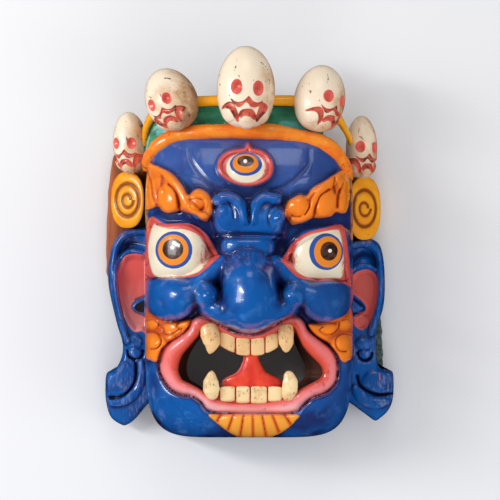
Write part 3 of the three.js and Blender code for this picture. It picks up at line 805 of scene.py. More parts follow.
def mouth_form():
    """The mouth's opening: straight through the lips, then narrower inside the wall, where each
    corner is drawn in by a share of its distance past a place left or right of the middle."""
    lips = smooth_line(LIP_INSIDE, 200, True)
    x = lips[:, 0]
    inner = lips.copy()
    inner[:, 0] = x - 0.38 * np.maximum(x - 28, 0) + 0.2 * np.maximum(-30 - x, 0)
    return plug("mouth", [inner, inner, lips, lips], [30.0, 92.0, 108.0, ABOVE])


def hollow_form(name, sizes):
    """The hollow behind the face: the face's dome drawn in by the wall's thickness, as rings from
    the floor to its top."""
    wall = mm(sizes.wall)
    turn = np.linspace(0, 2 * np.pi, 96, endpoint=False)
    angle = np.linspace(0, 1, 22)[:, None]
    share = np.cos(angle * np.pi / 2) ** 0.8
    cosine, sine = np.cos(turn), np.sin(turn)
    across = np.sign(cosine) * np.abs(cosine) ** (2 / OUTLINE_POWER)
    up = np.sign(sine) * np.abs(sine) ** (2 / OUTLINE_POWER)
    x = (mm(sizes.half_width) - wall) * share * across
    y = FACE_MIDDLE_Y + (mm(sizes.half_height) - wall) * share * up
    rest = mm(sizes.face_depth) - mm(sizes.side_depth)
    z = (mm(sizes.side_depth) - wall + rest * np.sqrt(1 - share**4)) * np.ones_like(x)
    x, y = np.vstack([x[:1], x]), np.vstack([y[:1], y])
    z = np.vstack([np.full((1, len(turn)), BELOW), z])
    points, faces, _ = capped(x, y, z)
    return build(name, points, faces)


def cut(piece, cutter):
    """Takes one closed form out of another and keeps the result in the first one's mesh."""
    change = piece.modifiers.new("cut", "BOOLEAN")
    change.object = cutter
    change.operation = "DIFFERENCE"
    change.solver = "MANIFOLD"
    graph = bpy.context.evaluated_depsgraph_get()
    result = piece.evaluated_get(graph)
    mesh = bpy.data.meshes.new_from_object(result, preserve_all_data_layers=True, depsgraph=graph)
    piece.modifiers.clear()
    old = piece.data
    piece.data = mesh
    mesh.name = piece.name
    bpy.data.meshes.remove(old)
    spent = cutter.data
    bpy.data.objects.remove(cutter)
    bpy.data.meshes.remove(spent)
    mesh.shade_smooth()
    return piece


# Skulls

SKULLS = (
    # centre in the drawing, radii, turn to its left, roll, nod, breadth of its features, bluntness, wear
    ((-3.1, 155.5, 108), (29, 41, 27), 0.07, 0.0, 0.0, 1.0, 0.78, 0.25),
    ((-77.9, 143.0, 86), (26.3, 32.3, 25), -0.54, 0.52, 0.19, 1.0, 0.9, 0.75),
    ((70.9, 144.0, 86), (26, 33.6, 25), 0.74, -0.31, 0.22, 1.0, 0.9, 0.35),
    ((-118.6, 99.8, 40), (17.2, 30.6, 19), -0.42, 0.09, 0.02, 1.3, 0.75, 0.6),
    ((112.5, 95.6, 40), (15.2, 31, 18), 0.42, 0.0, 0.0, 1.35, 0.75, 0.55),
)
SKULL_RADII = (28.5, 41.0)
SKULL_COLUMN, SKULL_ROW = 247.9, 86.9


def on_skull(points):
    """Pixels of the photograph on the middle skull as millimetres from where its face is centred."""
    return [(x - SKULL_COLUMN, SKULL_ROW - y) for x, y in points]


SKULL_SOCKETS = ((on_skull([(237.2, 86.6)])[0], (5.6, 7.6)), (on_skull([(258.5, 88.2)])[0], (5.2, 7.6)))
NOSE_HOLLOW = on_skull([
    (231.2, 98.6), (235, 101.2), (239, 102.2), (243.2, 101.2), (246.4, 98.6), (249.1, 96.2),
    (251.6, 99.0), (254.0, 101.6), (258.5, 102.8), (263.2, 101.2), (260.5, 105.8), (255.8, 107.2),
    (251.2, 106.0), (248.6, 103.4), (245.6, 102.6), (242.4, 105.4), (239.6, 107.4), (235.4, 104.6),
])
LEFT_CHEEK_HOLLOW = on_skull([
    (223.6, 108.8), (224.8, 105.4), (228.6, 102.4), (232.0, 102.4), (235.2, 106.2), (237.8, 111.8),
    (239.6, 117.7), (239.2, 122.0), (236.6, 119.5), (234.2, 113.4), (231.0, 109.0), (227.4, 107.6),
])
RIGHT_CHEEK_HOLLOW = on_skull([
    (268.6, 108.2), (266.8, 104.4), (262.8, 102.8), (259.8, 107.1), (257.6, 112.2), (256.3, 118.4),
    (257.6, 121.6), (260.4, 116.6), (264.4, 112.0),
])
MOUTH_HOLLOW = on_skull([
    (239.2, 116.6), (240.4, 112.0), (243.6, 109.3), (248.2, 108.2), (252.8, 109.8), (256.0, 114.0),
    (256.9, 119.4), (253.8, 118.2), (250.4, 115.6), (247.4, 114.8), (244.2, 115.4), (241.6, 117.6),
])
SKULL_HOLLOWS = (NOSE_HOLLOW, LEFT_CHEEK_HOLLOW, RIGHT_CHEEK_HOLLOW, MOUTH_HOLLOW)
SKULL_CHIPS = [on_skull(line) for line in (
    [(237.2, 59), (236.6, 65), (234.6, 71)], [(235, 72.4), (238.6, 75), (241.4, 79)],
    [(253.6, 80), (253.4, 84.6)], [(262, 62.6), (266, 65.4), (269, 71)], [(221.5, 74.6), (221.6, 76)],
    [(221.8, 84), (222, 87)], [(229, 94), (231, 97)],
)]
SKULL_LOBES = (
    # centre, radii and rise of cheeks, chin and upper jaw
    ((-18.4, -27.0), (7.5, 8.5), 1.6), ((15.6, -28.5), (7.5, 8.5), 1.6), ((0.2, -34.5), (8.5, 7.5), 2.6),
    ((0.6, -19.5), (8, 3.2), 1.4),
)


def skull_part(centre, radii, yaw, roll, nod, spread, full, wear):
    """An egg of two angles, longitude and latitude, narrower above and as blunt below as the power
    that its lower half's sine and cosine are raised to. Sockets, nose, cheeks and mouth are cut
    towards its middle and lobes raised from it; then it is nodded, turned, rolled and placed."""
    t = np.linspace(-np.pi, np.pi, 130, endpoint=False)
    longitude = t - 0.55 * np.sin(t)
    bands = (np.linspace(-1.55, -1.07, 13), np.linspace(-1.05, 0.3, 80), np.linspace(0.34, 1.55, 30))
    latitude = np.concatenate(bands)
    latitude, longitude = np.meshgrid(latitude, longitude, indexing="ij")
    level = np.cos(latitude) ** np.where(latitude < 0, full, 1.0)
    across = level * np.sin(longitude)
    up = np.sign(latitude) * np.abs(np.sin(latitude)) ** np.where(latitude < 0, full, 1.0)
    out = level * np.cos(longitude)
    narrow = 1 - 0.05 * np.maximum(up, 0)
    front = out > 0
    relief = Relief(across * SKULL_RADII[0] / spread, up * SKULL_RADII[1])
    sockets = np.maximum.reduce([oval(relief.x, relief.y, *socket) for socket in SKULL_SOCKETS])
    hollows = [inside(relief.x, relief.y, smooth_line(line, 72, True)) for line in SKULL_HOLLOWS]
    red = np.maximum.reduce([sockets, *hollows])
    chips = np.minimum.reduce([nearest(relief.x, relief.y, joined(line))[0] for line in SKULL_CHIPS])
    for lobe, size, rise in SKULL_LOBES:
        relief.swell(lobe, size, rise)
    relief.height -= 4.6 * smooth_step(sockets, -0.4, 4.2)
    relief.height -= 2.8 * smooth_step(np.maximum.reduce(hollows), -0.4, 1.8)
    height = np.where(front, relief.height, 0) * (radii[1] / SKULL_RADII[1]) * smooth_step(out, 0.0, 0.25)
    grow = 1 + height / np.mean(radii)
    x, y, z = radii[0] * across * narrow * grow, radii[1] * up * grow, radii[2] * out * narrow * grow
    y, z = y * np.cos(nod) + z * np.sin(nod), z * np.cos(nod) - y * np.sin(nod)
    x, z = x * np.cos(yaw) + z * np.sin(yaw), z * np.cos(yaw) - x * np.sin(yaw)
    x, y = x * np.cos(roll) - y * np.sin(roll), x * np.sin(roll) + y * np.cos(roll)
    fields = {
        "red": np.where(front, red, -9),
        # the skull's own wear, plus painted shade that grows towards its right side and its bottom
        "wear": wear + 0.55 * x / radii[0] - 0.2 * y / radii[1],
        "chip": np.where(front, 0.9 - chips, -9),
        "socket": np.where(front, sockets, -9),
    }
    return capped(centre[0] + x, centre[1] + y, centre[2] + z, fields)


def skulls_piece():
    """The five skulls as one object."""
    return together("skulls", [skull_part(*values) for values in SKULLS])


# Crown


def crown_depth(x):
    """Height of the crown above the floor: it falls with the cube of the distance from the middle."""
    return 88 - 34 * (np.abs(x) / 104) ** 3


ROLL_LINE = [
    (-102, 74, -14), (-100.5, 81, -5), (-97, 88, 0), (-90, 96.5, 2), (-79, 103.4, 3), (-64, 108.4, 3),
    (-41, 110.4, 3), (-24, 110.9, 3), (1, 111.2, 3), (26, 110.2, 3), (40, 107.6, 3), (56, 104.2, 3),
    (70, 100.6, 3), (81, 94, 2), (88.5, 86.6, 2), (93.5, 78.5, 1), (97, 71, -4), (99, 64, -16),
]
RIM_LINE = [
    (-107, 70, -22), (-106, 84.4, -10), (-105, 94.4, -6), (-104, 107.4, -2), (-102, 116.4, 0),
    (-96, 127, 0), (-84, 136, 0), (-69, 139.4, 0), (-51, 140.9, 0), (-19, 141.9, 0), (1, 142.4, 0),
    (25, 141.9, 0), (45, 141.4, 0), (61, 138.4, 0), (76, 133.4, 0), (87.5, 125, 0), (93, 118, 0),
    (97, 111, 0), (100.5, 104, -4), (103, 96, -10), (105, 88, -18),
]
CROWN_STEPS = 260
FACE_CORNER = [
    (60, 104), (70, 100.6), (81, 94), (88.5, 86.6), (93, 80), (97, 75), (104, 71), (122, 71), (122, 132),
    (60, 132),
]


def along_crown(points):
    """A line laid on the crown. Its third number is how far it stands over the crown's own height."""
    line = smooth_line(points, CROWN_STEPS)
    line[:, 2] += crown_depth(line[:, 0])
    return line


def wobble(values, seed, strength):
    """Slow waves along a line, as a carver's hand leaves them: three sines whose beats differ."""
    return strength * sum(
        np.sin(values * beat + seed * (2.1 + 1.7 * beat)) / (1 + 0.4 * i)
        for i, beat in enumerate((7, 17, 31))
    )


def crown_pieces(sizes):
    """The roll over the forehead, the sunken band and the rim. Roll and rim are round profiles whose
    radius wavers; the roll rises where the face under it does."""
    t = np.linspace(0, 1, CROWN_STEPS)
    near_end = np.minimum(t, 1 - t)
    ends = np.maximum(quarter_round(near_end / 0.02), 0.05)
    roll_line = along_crown(ROLL_LINE)
    sunk = 1.5 + 30 * (1 - smooth_step(near_end, 0.0, 0.07))
    ground = on_face(sizes, roll_line[:, 0], roll_line[:, 1]) - sunk
    roll_line[:, 2] = smooth_max(roll_line[:, 2], ground, 4.0)
    thick = mm(sizes.roll_radius) * (0.72 + 0.28 * smooth_step(near_end, 0.0, 0.12) + 0.05 * np.cos(t * 25))
    thick = (thick + wobble(t * 6.28, 1.3, 0.14)) * ends
    x, y, z = tube(roll_line, thick, 36)
    angle = np.linspace(0, 2 * np.pi, 36, endpoint=False)[None, :]
    # painted shade: marks the roll's lower front side, which the paint darkens
    shaved = np.clip(np.cos(angle - 2.5) * 1.4 - 0.5 + wobble(t * 9, 2.2, 0.3)[:, None], -1, 1)
    roll = together("crown_roll", [capped(x, y, z, {"shaved": shaved})])
    rim_line = along_crown(RIM_LINE)
    thick = mm(sizes.rim_radius) * (0.55 + 0.45 * smooth_step(near_end, 0.12, 0.3))
    thick = (thick + wobble(t * 6.28, 4.1, 0.12)) * ends
    x, y, z = tube(rim_line, thick, 24, flat=1.15)
    rim = together("crown_rim", [capped(x, y, z)])
    return roll, band_piece(), rim


def band_piece():
    """The sunken band between roll and rim: a flat closed profile carried from left to right, whose
    lower edge follows the roll and whose upper edge follows the rim. It ends short of the right. Its
    front dips by a parabola between them, and its grooves are two bell curves at its edges."""
    front_count, back_count = 24, 6
    at = np.linspace(0.1, 0.715, 180) * (CROWN_STEPS - 1)
    low, high = (
        np.stack([np.interp(at, np.arange(CROWN_STEPS), line[:, i]) for i in range(3)], -1)
        for line in (along_crown(ROLL_LINE), along_crown(RIM_LINE))
    )
    across = np.concatenate([np.linspace(0, 1, front_count), np.linspace(1, 0, back_count)])
    behind = np.arange(front_count + back_count) >= front_count
    place = low[:, None] + (high - low)[:, None] * across[None, :, None]
    sunk = -4.5 + 3.0 * (2 * across - 1) ** 2
    z = crown_depth(place[..., 0]) + np.where(behind, -15.0, sunk)
    groove = np.exp(-((across * 8) ** 2)) + np.exp(-(((1 - across) * 8) ** 2))
    fields = {"crease": np.broadcast_to(groove, z.shape)}
    return build("crown_band", *capped(place[..., 0], place[..., 1], z, fields))


# Ears, discs and ledge

LEFT_EAR_EDGE = from_photo([
    (149, 226), (140, 226.5), (129, 228), (120, 233), (114.7, 240), (111, 248), (109.5, 256.5),
    (108, 266), (108, 276), (109.5, 291), (114.7, 314.5), (118, 327), (121.5, 338), (123, 348),
    (121, 359), (115, 369.5), (107, 373), (105.4, 387), (106.4, 403), (111, 417), (121, 424.4),
    (127, 424.7), (136, 418), (149, 402),
])
RIGHT_EAR_EDGE = from_photo([
    (347, 237), (358, 237), (370, 238.5), (378, 243), (381.5, 250), (383.5, 260), (384.5, 272),
    (384.8, 286), (384.5, 296), (383, 308), (379.5, 320), (376.5, 332), (376, 345), (376.5, 358),
    (378.5, 367), (386, 370.5), (392.5, 372), (393.6, 386), (392.5, 400), (388, 410.5), (380, 418),
    (375, 420.5), (368, 416), (349, 402),
])
EAR_TOP, EAR_BOTTOM = 15, -158
LEFT_EAR_HOLE = from_photo([
    (134.6, 307.6), (138, 303.5), (144, 301), (144.5, 307), (143.5, 312.6), (137, 311),
])


def ribbon(edge, inner_x, rows, columns):
    """Places between an ear's outer edge and a straight line inside the head: row along the edge,
    column across."""
    outer = smooth_line(edge, rows)
    t = np.linspace(0, 1, rows)
    inner = np.stack([np.full(rows, inner_x), EAR_TOP + (EAR_BOTTOM - EAR_TOP) * t], -1)
    across = np.linspace(0, 1, columns)
    place = outer[:, None] + (inner - outer)[:, None] * across[None, :, None]
    return place[..., 0], place[..., 1]


def ear_piece(name, sizes, edge, inner_x, carve):
    """An ear: a ribbon of heights over a flat back, closed round its edge."""
    rows, columns = 240, 64
    x, y = ribbon(edge, inner_x, rows, columns)
    outline = np.vstack([smooth_line(edge, rows), [[inner_x, EAR_BOTTOM], [inner_x, EAR_TOP]]])
    depth = inside(x, y, outline, 20)
    depth[:, 0] = 0
    relief = Relief(x, y)
    fields = carve(relief)
    edge_fall = quarter_round(np.clip(depth, 0, None) / 5)
    back, thick = mm(sizes.ear_back), mm(sizes.ear_thickness)
    z = back + 5 + (thick - 5 + relief.height) * edge_fall
    fields["crease"] = np.clip((blurred(relief.height, 1.8) - relief.height) / 1.4, -1, 1)
    back_x, back_y, back_z = x[:, ::-8], y[:, ::-8], np.full_like(x[:, ::-8], back)
    all_x, all_y, all_z = (np.hstack(pair) for pair in ((x, back_x), (y, back_y), (z, back_z)))
    behind = np.zeros_like(back_x)
    values = {key: np.hstack([grid, behind - (0 if key == "crease" else 30)]) for key, grid in fields.items()}
    points, faces, values = capped(all_x, all_y, all_z, values)
    return build(name, points, faces, values)


def left_ear_form(relief):
    """Rim, hollow above, shell, small lobes and long lobe of the ear at the left."""
    rim = from_photo([
        (150, 231.5), (138, 231), (127, 233), (118, 242), (113, 256), (112, 276), (113.5, 292), (118, 313),
        (123, 331), (127, 341),
    ])
    relief.cord(rim, 4.6, 6, taper=0.25)
    relief.dent((-119, -4), (12, 7), 7)
    bend = [(118, 268), (120, 256), (126, 246), (134, 242.5), (148, 246)]
    relief.groove(from_photo(bend), 3.6, 6, taper=0.4)
    fold = [(121, 318), (116.5, 296), (115.5, 276), (118, 262), (124, 253), (133, 250.5), (148, 254)]
    relief.cord(from_photo(fold), 2.4, 4, taper=0.3)
    shell = inside(relief.x, relief.y, smooth_line(from_photo([
        (150, 256), (142, 254.5), (133, 253.5), (124, 257), (118.5, 268), (117, 283), (119.5, 300),
        (124, 316), (129, 326), (134.5, 331.5), (141, 331), (150, 328),
    ]), 120, True))
    relief.height -= 6 * smooth_step(shell, -0.5, 7)
    tragus = inside(relief.x, relief.y, smooth_line(from_photo([
        (131, 307.5), (134.5, 301), (141, 297.5), (149, 296), (150, 318), (143, 315), (136.5, 312.5),
    ]), 80, True))
    relief.height += 5 * smooth_step(tragus, -0.5, 2)
    relief.swell(spot(134.4, 342), (8.5, 7.5), 4)
    relief.swell(spot(134.8, 352.8), (7, 5), 3.5)
    bend = [(127.5, 351), (129.5, 356.5), (135, 359.5), (141, 357), (143, 351)]
    relief.groove(from_photo(bend), 1.5, 5)
    relief.cord(from_photo([(141, 362), (140.5, 378), (135, 392), (124, 401), (112, 403)]), 5, 4, taper=0.4)
    relief.swell(spot(121, 380), (15, 19), 4)
    bend = [(135.5, 362), (136, 376), (131, 388.5), (121, 396.5), (110, 397.6)]
    relief.groove(from_photo(bend), 1.7, 6.5, taper=0.2)
    return {"pink": np.minimum(shell, -tragus)}


def right_ear_form(relief):
    """Rim, shell, small lobes and long lobe of the ear at the right."""
    rim = from_photo([
        (349, 247), (356, 244), (366, 243.5), (374, 248), (379, 257), (381, 272), (381.5, 288), (380, 304),
        (375.5, 319), (371, 333),
    ])
    relief.cord(rim, 4.4, 6, taper=0.25)
    bend = [(349, 263), (354, 258), (362, 254), (370, 256), (375, 263)]
    relief.groove(from_photo(bend), 4.0, 8, taper=0.3)
    relief.cord(from_photo([(350, 272), (358, 266.5), (368, 265.5), (376, 270)]), 2.4, 3, taper=0.3)
    shell = inside(relief.x, relief.y, smooth_line(from_photo([
        (349, 280), (353, 275.5), (359.3, 271), (369, 269.8), (375.8, 275.3), (378, 285), (377.2, 296),
        (373.7, 312.3), (367.6, 326), (361.4, 330), (355.2, 326), (353.9, 319), (358, 312.8),
        (364.5, 311), (365.5, 306.8), (363.5, 302.7), (358, 297.2), (349, 291),
    ]), 140, True))
    relief.height -= 5 * smooth_step(shell, -0.5, 5)
    relief.swell(spot(361, 321), (6.5, 6.5), 3.5)
    bend = [(352, 298), (359, 303), (364, 308.5), (358, 313), (352, 314)]
    relief.groove(from_photo(bend), 2.2, 5, taper=0.2)
    relief.swell(spot(363, 344), (8, 7), 4)
    relief.swell(spot(364, 354), (6, 4.5), 4)
    relief.groove(from_photo([(357.5, 353), (360, 358), (365, 360.5), (370.5, 358), (372, 353)]), 1.5, 5)
    relief.swell(spot(375, 381), (13, 11), 4)
    bend = [(357, 376), (360, 385), (367.6, 391), (377.2, 394.6), (392, 393.5)]
    relief.groove(from_photo(bend), 1.7, 6.5, taper=0.2)
    relief.cord(from_photo([(355, 388), (362, 398), (373, 403), (386, 402)]), 6, 4, taper=0.4)
    stripe, _ = nearest(relief.x, relief.y, joined(from_photo([(379.5, 373), (379.8, 380)])))
    return {"pink": np.maximum(shell, 0.5 - stripe)}


DISCS = (
    # centre, half sizes, side
    ((-121.5, 42.4), (16.6, 28.2), -1),
    ((115.4, 34.0), (16.2, 31.6), 1),
)


def disc_part(sizes, centre, half, side):
    """A domed oval plate turned back from the face. Its two parameters are the share of the radius
    and the angle; a ring groove and a short spiral are cut into it."""
    radius = np.concatenate([np.linspace(0.01, 0.93, 52), np.linspace(0.94, 1, 7)])[:, None]
    angle = np.linspace(0, 2 * np.pi, 180, endpoint=False)[None, :]
    stretch = 1 / (np.abs(np.cos(angle)) ** 2.4 + np.abs(np.sin(angle)) ** 2.4) ** (1 / 2.4)
    across = radius * np.cos(angle) * stretch
    up = radius * np.sin(angle) * stretch
    x, y = centre[0] + half[0] * across, centre[1] + half[1] * up
    reach = np.hypot(across / 0.70, up / 0.58)
    ring = np.exp(-(((reach - 1) * 6.5) ** 2))
    turns = (angle + np.pi / 2) / (2 * np.pi)
    inner = np.hypot(across * half[0] / 5.4, up * half[1] / 7.4)
    spiral_at = 0.52 + 0.5 * turns
    spiral = np.exp(-(((inner - spiral_at) * 3.6) ** 2))
    tilt = mm(sizes.ear_back) + 22 - side * (x - centre[0]) * 0.72
    dome = 5.5 * np.sqrt(np.maximum(1 - radius**2.6, 0))
    cuts = 2.3 * ring + 1.9 * spiral
    z = tilt + dome - cuts
    shares = (1.0, 0.96, 0.5, 0.05)
    x_back = np.vstack([centre[0] + half[0] * across[-1] * share for share in shares])
    y_back = np.vstack([centre[1] + half[1] * up[-1] * share for share in shares])
    z_back = np.vstack([(z[-1:] + 6) * 0.5, np.full((len(shares) - 1, z.shape[1]), 6.0)])
    crease = np.clip(ring + spiral, 0, 1) * np.ones_like(x)
    values = {"crease": np.vstack([crease, np.zeros_like(x_back)])}
    return capped(np.vstack([x, x_back]), np.vstack([y, y_back]), np.vstack([z, z_back]), values)


def discs_piece(sizes):
    """The discs above both ears as one object."""
    return together("discs", [disc_part(sizes, *values) for values in DISCS])


LEDGE = [
    (-70, 98), (-100, 104), (-118, 98), (-131, 92), (-137, 81), (-139, 62), (-141, 42), (-142.5, 12),
    (-143, -18), (-141, -34), (-130, -52), (-112, -96), (-94, -130), (-40, -150), (40, -150), (94, -138),
    (118, -133), (131, -127), (133, -118), (132.5, -100), (131.5, -80), (129, -68), (124, -58),
    (122, -40), (122, 10), (119, 50), (112, 64), (97, 66), (78, 74), (40, 92), (-30, 98),
]
SCALLOP = 11.0  # drawing millimetres from one step of the green strip to the next


def ledge_piece():
    """The rough back of the block: rings drawn from its outline towards the middle over two flat
    faces. The painted strip behind the right ear is scalloped by the sine of the way down."""
    count = 420
    outline = smooth_line(LEDGE, count, True)
    rough = wobble(np.linspace(0, 2 * np.pi, count), 2.7, 0.35)[:, None]
    middle = np.array([-2.0, -20.0])
    direction = (outline - middle) / np.linalg.norm(outline - middle, axis=1, keepdims=True)
    strip = (outline[:, 0] > 120) & (outline[:, 1] < -60) & (outline[:, 1] > -127)
    step = np.abs(np.sin(np.pi * (outline[:, 1] + 127) / SCALLOP)) * strip
    outline = outline + direction * (rough + step[:, None])
    steps = [
        (0.30, 12), (0.6, 12), (0.9, 13), (0.985, 14), (1.0, 12.8), (1.0, 7), (0.997, 1.2), (0.99, 0),
        (0.6, 0), (0.30, 0),
    ]
    x = np.vstack([middle[0] + (outline[:, 0] - middle[0]) * share for share, _ in steps])
    y = np.vstack([middle[1] + (outline[:, 1] - middle[1]) * share for share, _ in steps])
    z = np.array([height for _, height in steps], float)[:, None] * np.ones_like(x)
    rows, columns = x.shape
    green = np.broadcast_to(np.where(strip, 3.0, -3.0), x.shape)
    faces = [grid_faces(rows, columns, wrap_rows=True, wrap_columns=True)]
    return build("ledge", seated(x, y, z), faces, {"green": green})


# Mouth

UPPER_TEETH = (
    # left, right, root, and edge on the left and on the right, in pixels of the photograph
    (219.4, 235.4, 331, 345.8, 354.0), (235.8, 250.3, 336, 355, 356), (250.7, 264.8, 336, 356, 355),
    (265.2, 278.6, 332, 354.5, 347.5),
)
LOWER_TEETH = (
    (219.6, 235.4, 401.9, 386.2, 386), (235.8, 250.0, 403.5, 386, 386), (250.4, 267.4, 404.2, 386, 386),
    (267.8, 282.4, 402, 386, 386.5),
)
UPPER_GUM = [(203, 324), (213, 331), (232, 344), (250, 347), (268, 343), (282, 331), (293, 325)]
LOWER_GUM = [(207, 391), (214, 395), (232, 396), (250, 397), (270, 396), (284, 395), (293, 391)]


def tooth_part(sizes, left, right, root, edge_left, edge_right, lift, depth=9.0):
    """A rounded box: a superellipse profile carried from root to edge, whose end is cut on a slant."""
    t = np.linspace(-1, 1, 22)[:, None]
    angle = np.linspace(0, 2 * np.pi, 40, endpoint=False)[None, :]
    size = np.maximum(1 - np.abs(t) ** 8, 0.02) ** 0.25
    across = np.sign(np.cos(angle)) * np.abs(np.cos(angle)) ** 0.28 * size
    out = np.sign(np.sin(angle)) * np.abs(np.sin(angle)) ** 0.4 * size
    middle = (left + right) / 2 - PHOTO_COLUMN
    x = middle + (right - left) / 2 * across
    slant = edge_left + (edge_right - edge_left) * (across + 1) / 2
    y = PHOTO_ROW - (root + (slant - root) * (t + 1) / 2)
    z = on_face(sizes, x, y, lift) + depth / 2 * out - 0.02 * (x - middle) ** 2
    side = (np.abs(across) - 0.93) * 18
    return capped(x, y, z, {"gum": side, "edge": np.broadcast_to((t + 1) / 2, x.shape)})


def fang_part(sizes, line, radii, lift):
    """An elliptic profile carried along the fang, blunt at the root and pointed at the tip."""
    count = 40
    path = smooth_line([(x, y, 0) for x, y in from_photo(line)], count)
    t = np.linspace(0, 1, count)
    path[:, 2] = on_face(sizes, path[:, 0], path[:, 1]) + lift + 2.5 * np.sin(np.pi * t)
    thick = np.interp(t, np.linspace(0, 1, len(radii)), radii) * quarter_round(t / 0.12)
    thick = np.maximum(thick * np.where(t > 0.9, quarter_round((1 - t) / 0.1 * 0.5) * 1.15, 1), 0.15)
    x, y, z = tube(path, thick, 28, flat=0.72)
    return capped(x, y, z, {"gum": np.full_like(x, -9.0), "edge": np.broadcast_to(t[:, None], x.shape)})


def gum_part(sizes, points, radius, lift):
    """A soft round gum along a line behind the teeth."""
    count = 90
    line = smooth_line([(x, y, 0) for x, y in from_photo(points)], count)
    line[:, 2] = on_face(sizes, line[:, 0], line[:, 1]) + lift
    x, y, z = tube(line, np.full(count, radius), 20, flat=0.8)
    return capped(x, y, z, {"gum": np.full_like(x, 9.0), "edge": np.zeros_like(x)})


def teeth_piece(sizes):
    """Teeth, fangs and gums as one object."""
    parts = [tooth_part(sizes, *tooth, lift=2.0) for tooth in UPPER_TEETH]
    parts += [tooth_part(sizes, *tooth, lift=4.0) for tooth in LOWER_TEETH]
    parts += [
        fang_part(sizes, [(207.5, 324), (210, 334), (211.5, 344), (209.3, 354)], [7.5, 9.8, 8.2, 1.0], 5.5),
        fang_part(sizes, [(285.5, 324), (285.8, 334), (286.2, 344), (286, 352.5)], [7.2, 8.0, 7.2, 1.6], 5.5),
        fang_part(sizes, [(213.5, 399), (211.5, 390), (211, 381), (212, 370.5)], [4.0, 8.4, 7.6, 1.6], 7),
        fang_part(sizes, [(286.5, 400), (289.5, 390), (290, 381), (287.5, 371)], [4.5, 8.0, 7.6, 3.2], 7),
        gum_part(sizes, UPPER_GUM, 8.0, -3.0),
        gum_part(sizes, LOWER_GUM, 8.5, -1.5),
    ]
    return together("teeth", parts)


def tongue_piece(sizes):
    """The tongue: a flat round profile carried from behind the lower teeth up to the upper gum. Its
    half width is drawn through a few stations and evened out, and a bell curve dips its middle."""
    count = 90
    t = np.linspace(0, 1, count)
    y = PHOTO_ROW - (398 - 52 * t)
    stations = [0, 0.1, 0.3, 0.38, 0.44, 0.5, 0.58, 0.75, 1]
    width = np.interp(t, stations, [27, 29.5, 31, 28, 20, 14.5, 11.5, 7.6, 6.8])
    width = np.convolve(np.pad(width, 3, mode="edge"), np.ones(7) / 7, "valid")
    x = 1.7 + 1.6 * (1 - t)
    lift = np.interp(t, [0, 0.25, 0.5, 0.75, 1], [-8, -1, -2, -5, -9])
    z = on_face(sizes, x, y) + lift
    ends = np.maximum(quarter_round(np.minimum(t, 1 - t) / 0.05), 0.05)
    angle = np.linspace(0, 2 * np.pi, 72, endpoint=False)[None, :]
    thick = np.interp(t, [0, 0.4, 0.7, 1], [8, 8, 6.5, 6])[:, None]
    across = (width * ends)[:, None] * np.cos(angle)
    out = thick * ends[:, None] * np.sin(angle)
    in_front = smooth_step(np.sin(angle), 0.2, 0.9) * smooth_step(1 - t[:, None], 0.3, 0.7)
    dip = 2.2 * np.exp(-((across / 4) ** 2)) * in_front
    fields = {"crease": np.clip(dip / 3, 0, 1), "rim": np.broadcast_to(np.cos(angle), across.shape)}
    high = np.broadcast_to(y[:, None], across.shape)
    return build("tongue", *capped(x[:, None] + across, high, z[:, None] + out - dip, fields))


# Shader expressions


class Wire:
    """A value in a material. Arithmetic on it adds Math nodes."""

    def __init__(self, paints, socket):
        self.paints, self.socket = paints, socket

    def math(self, operation, *others, clamp=False):
        return self.paints.node(
            "ShaderNodeMath", {"operation": operation, "use_clamp": clamp}, dict(enumerate((self, *others)))
        )

    def __add__(self, other):
        return self.math("ADD", other)

    def __sub__(self, other):
        return self.math("SUBTRACT", other)

    def __rsub__(self, other):
        return self.math("MULTIPLY_ADD", -1.0, other)

    def __mul__(self, other):
        return self.math("MULTIPLY", other)

    __radd__ = __add__
    __rmul__ = __mul__

    def ramp(self, start, end):
        """0 below the start, 1 above the end and a smooth rise between; the other way round if the
        start is the larger."""
        if start > end:
            return 1 - self.ramp(end, start)
        settings = {"interpolation_type": "SMOOTHSTEP"}
        return self.paints.node("ShaderNodeMapRange", settings, {0: self, 1: start, 2: end, 3: 0.0, 4: 1.0})

    def larger(self, other):
        return self.math("MAXIMUM", other)

    def limited(self):
        """Kept between 0 and 1."""
        return self.math("ADD", 0.0, clamp=True)


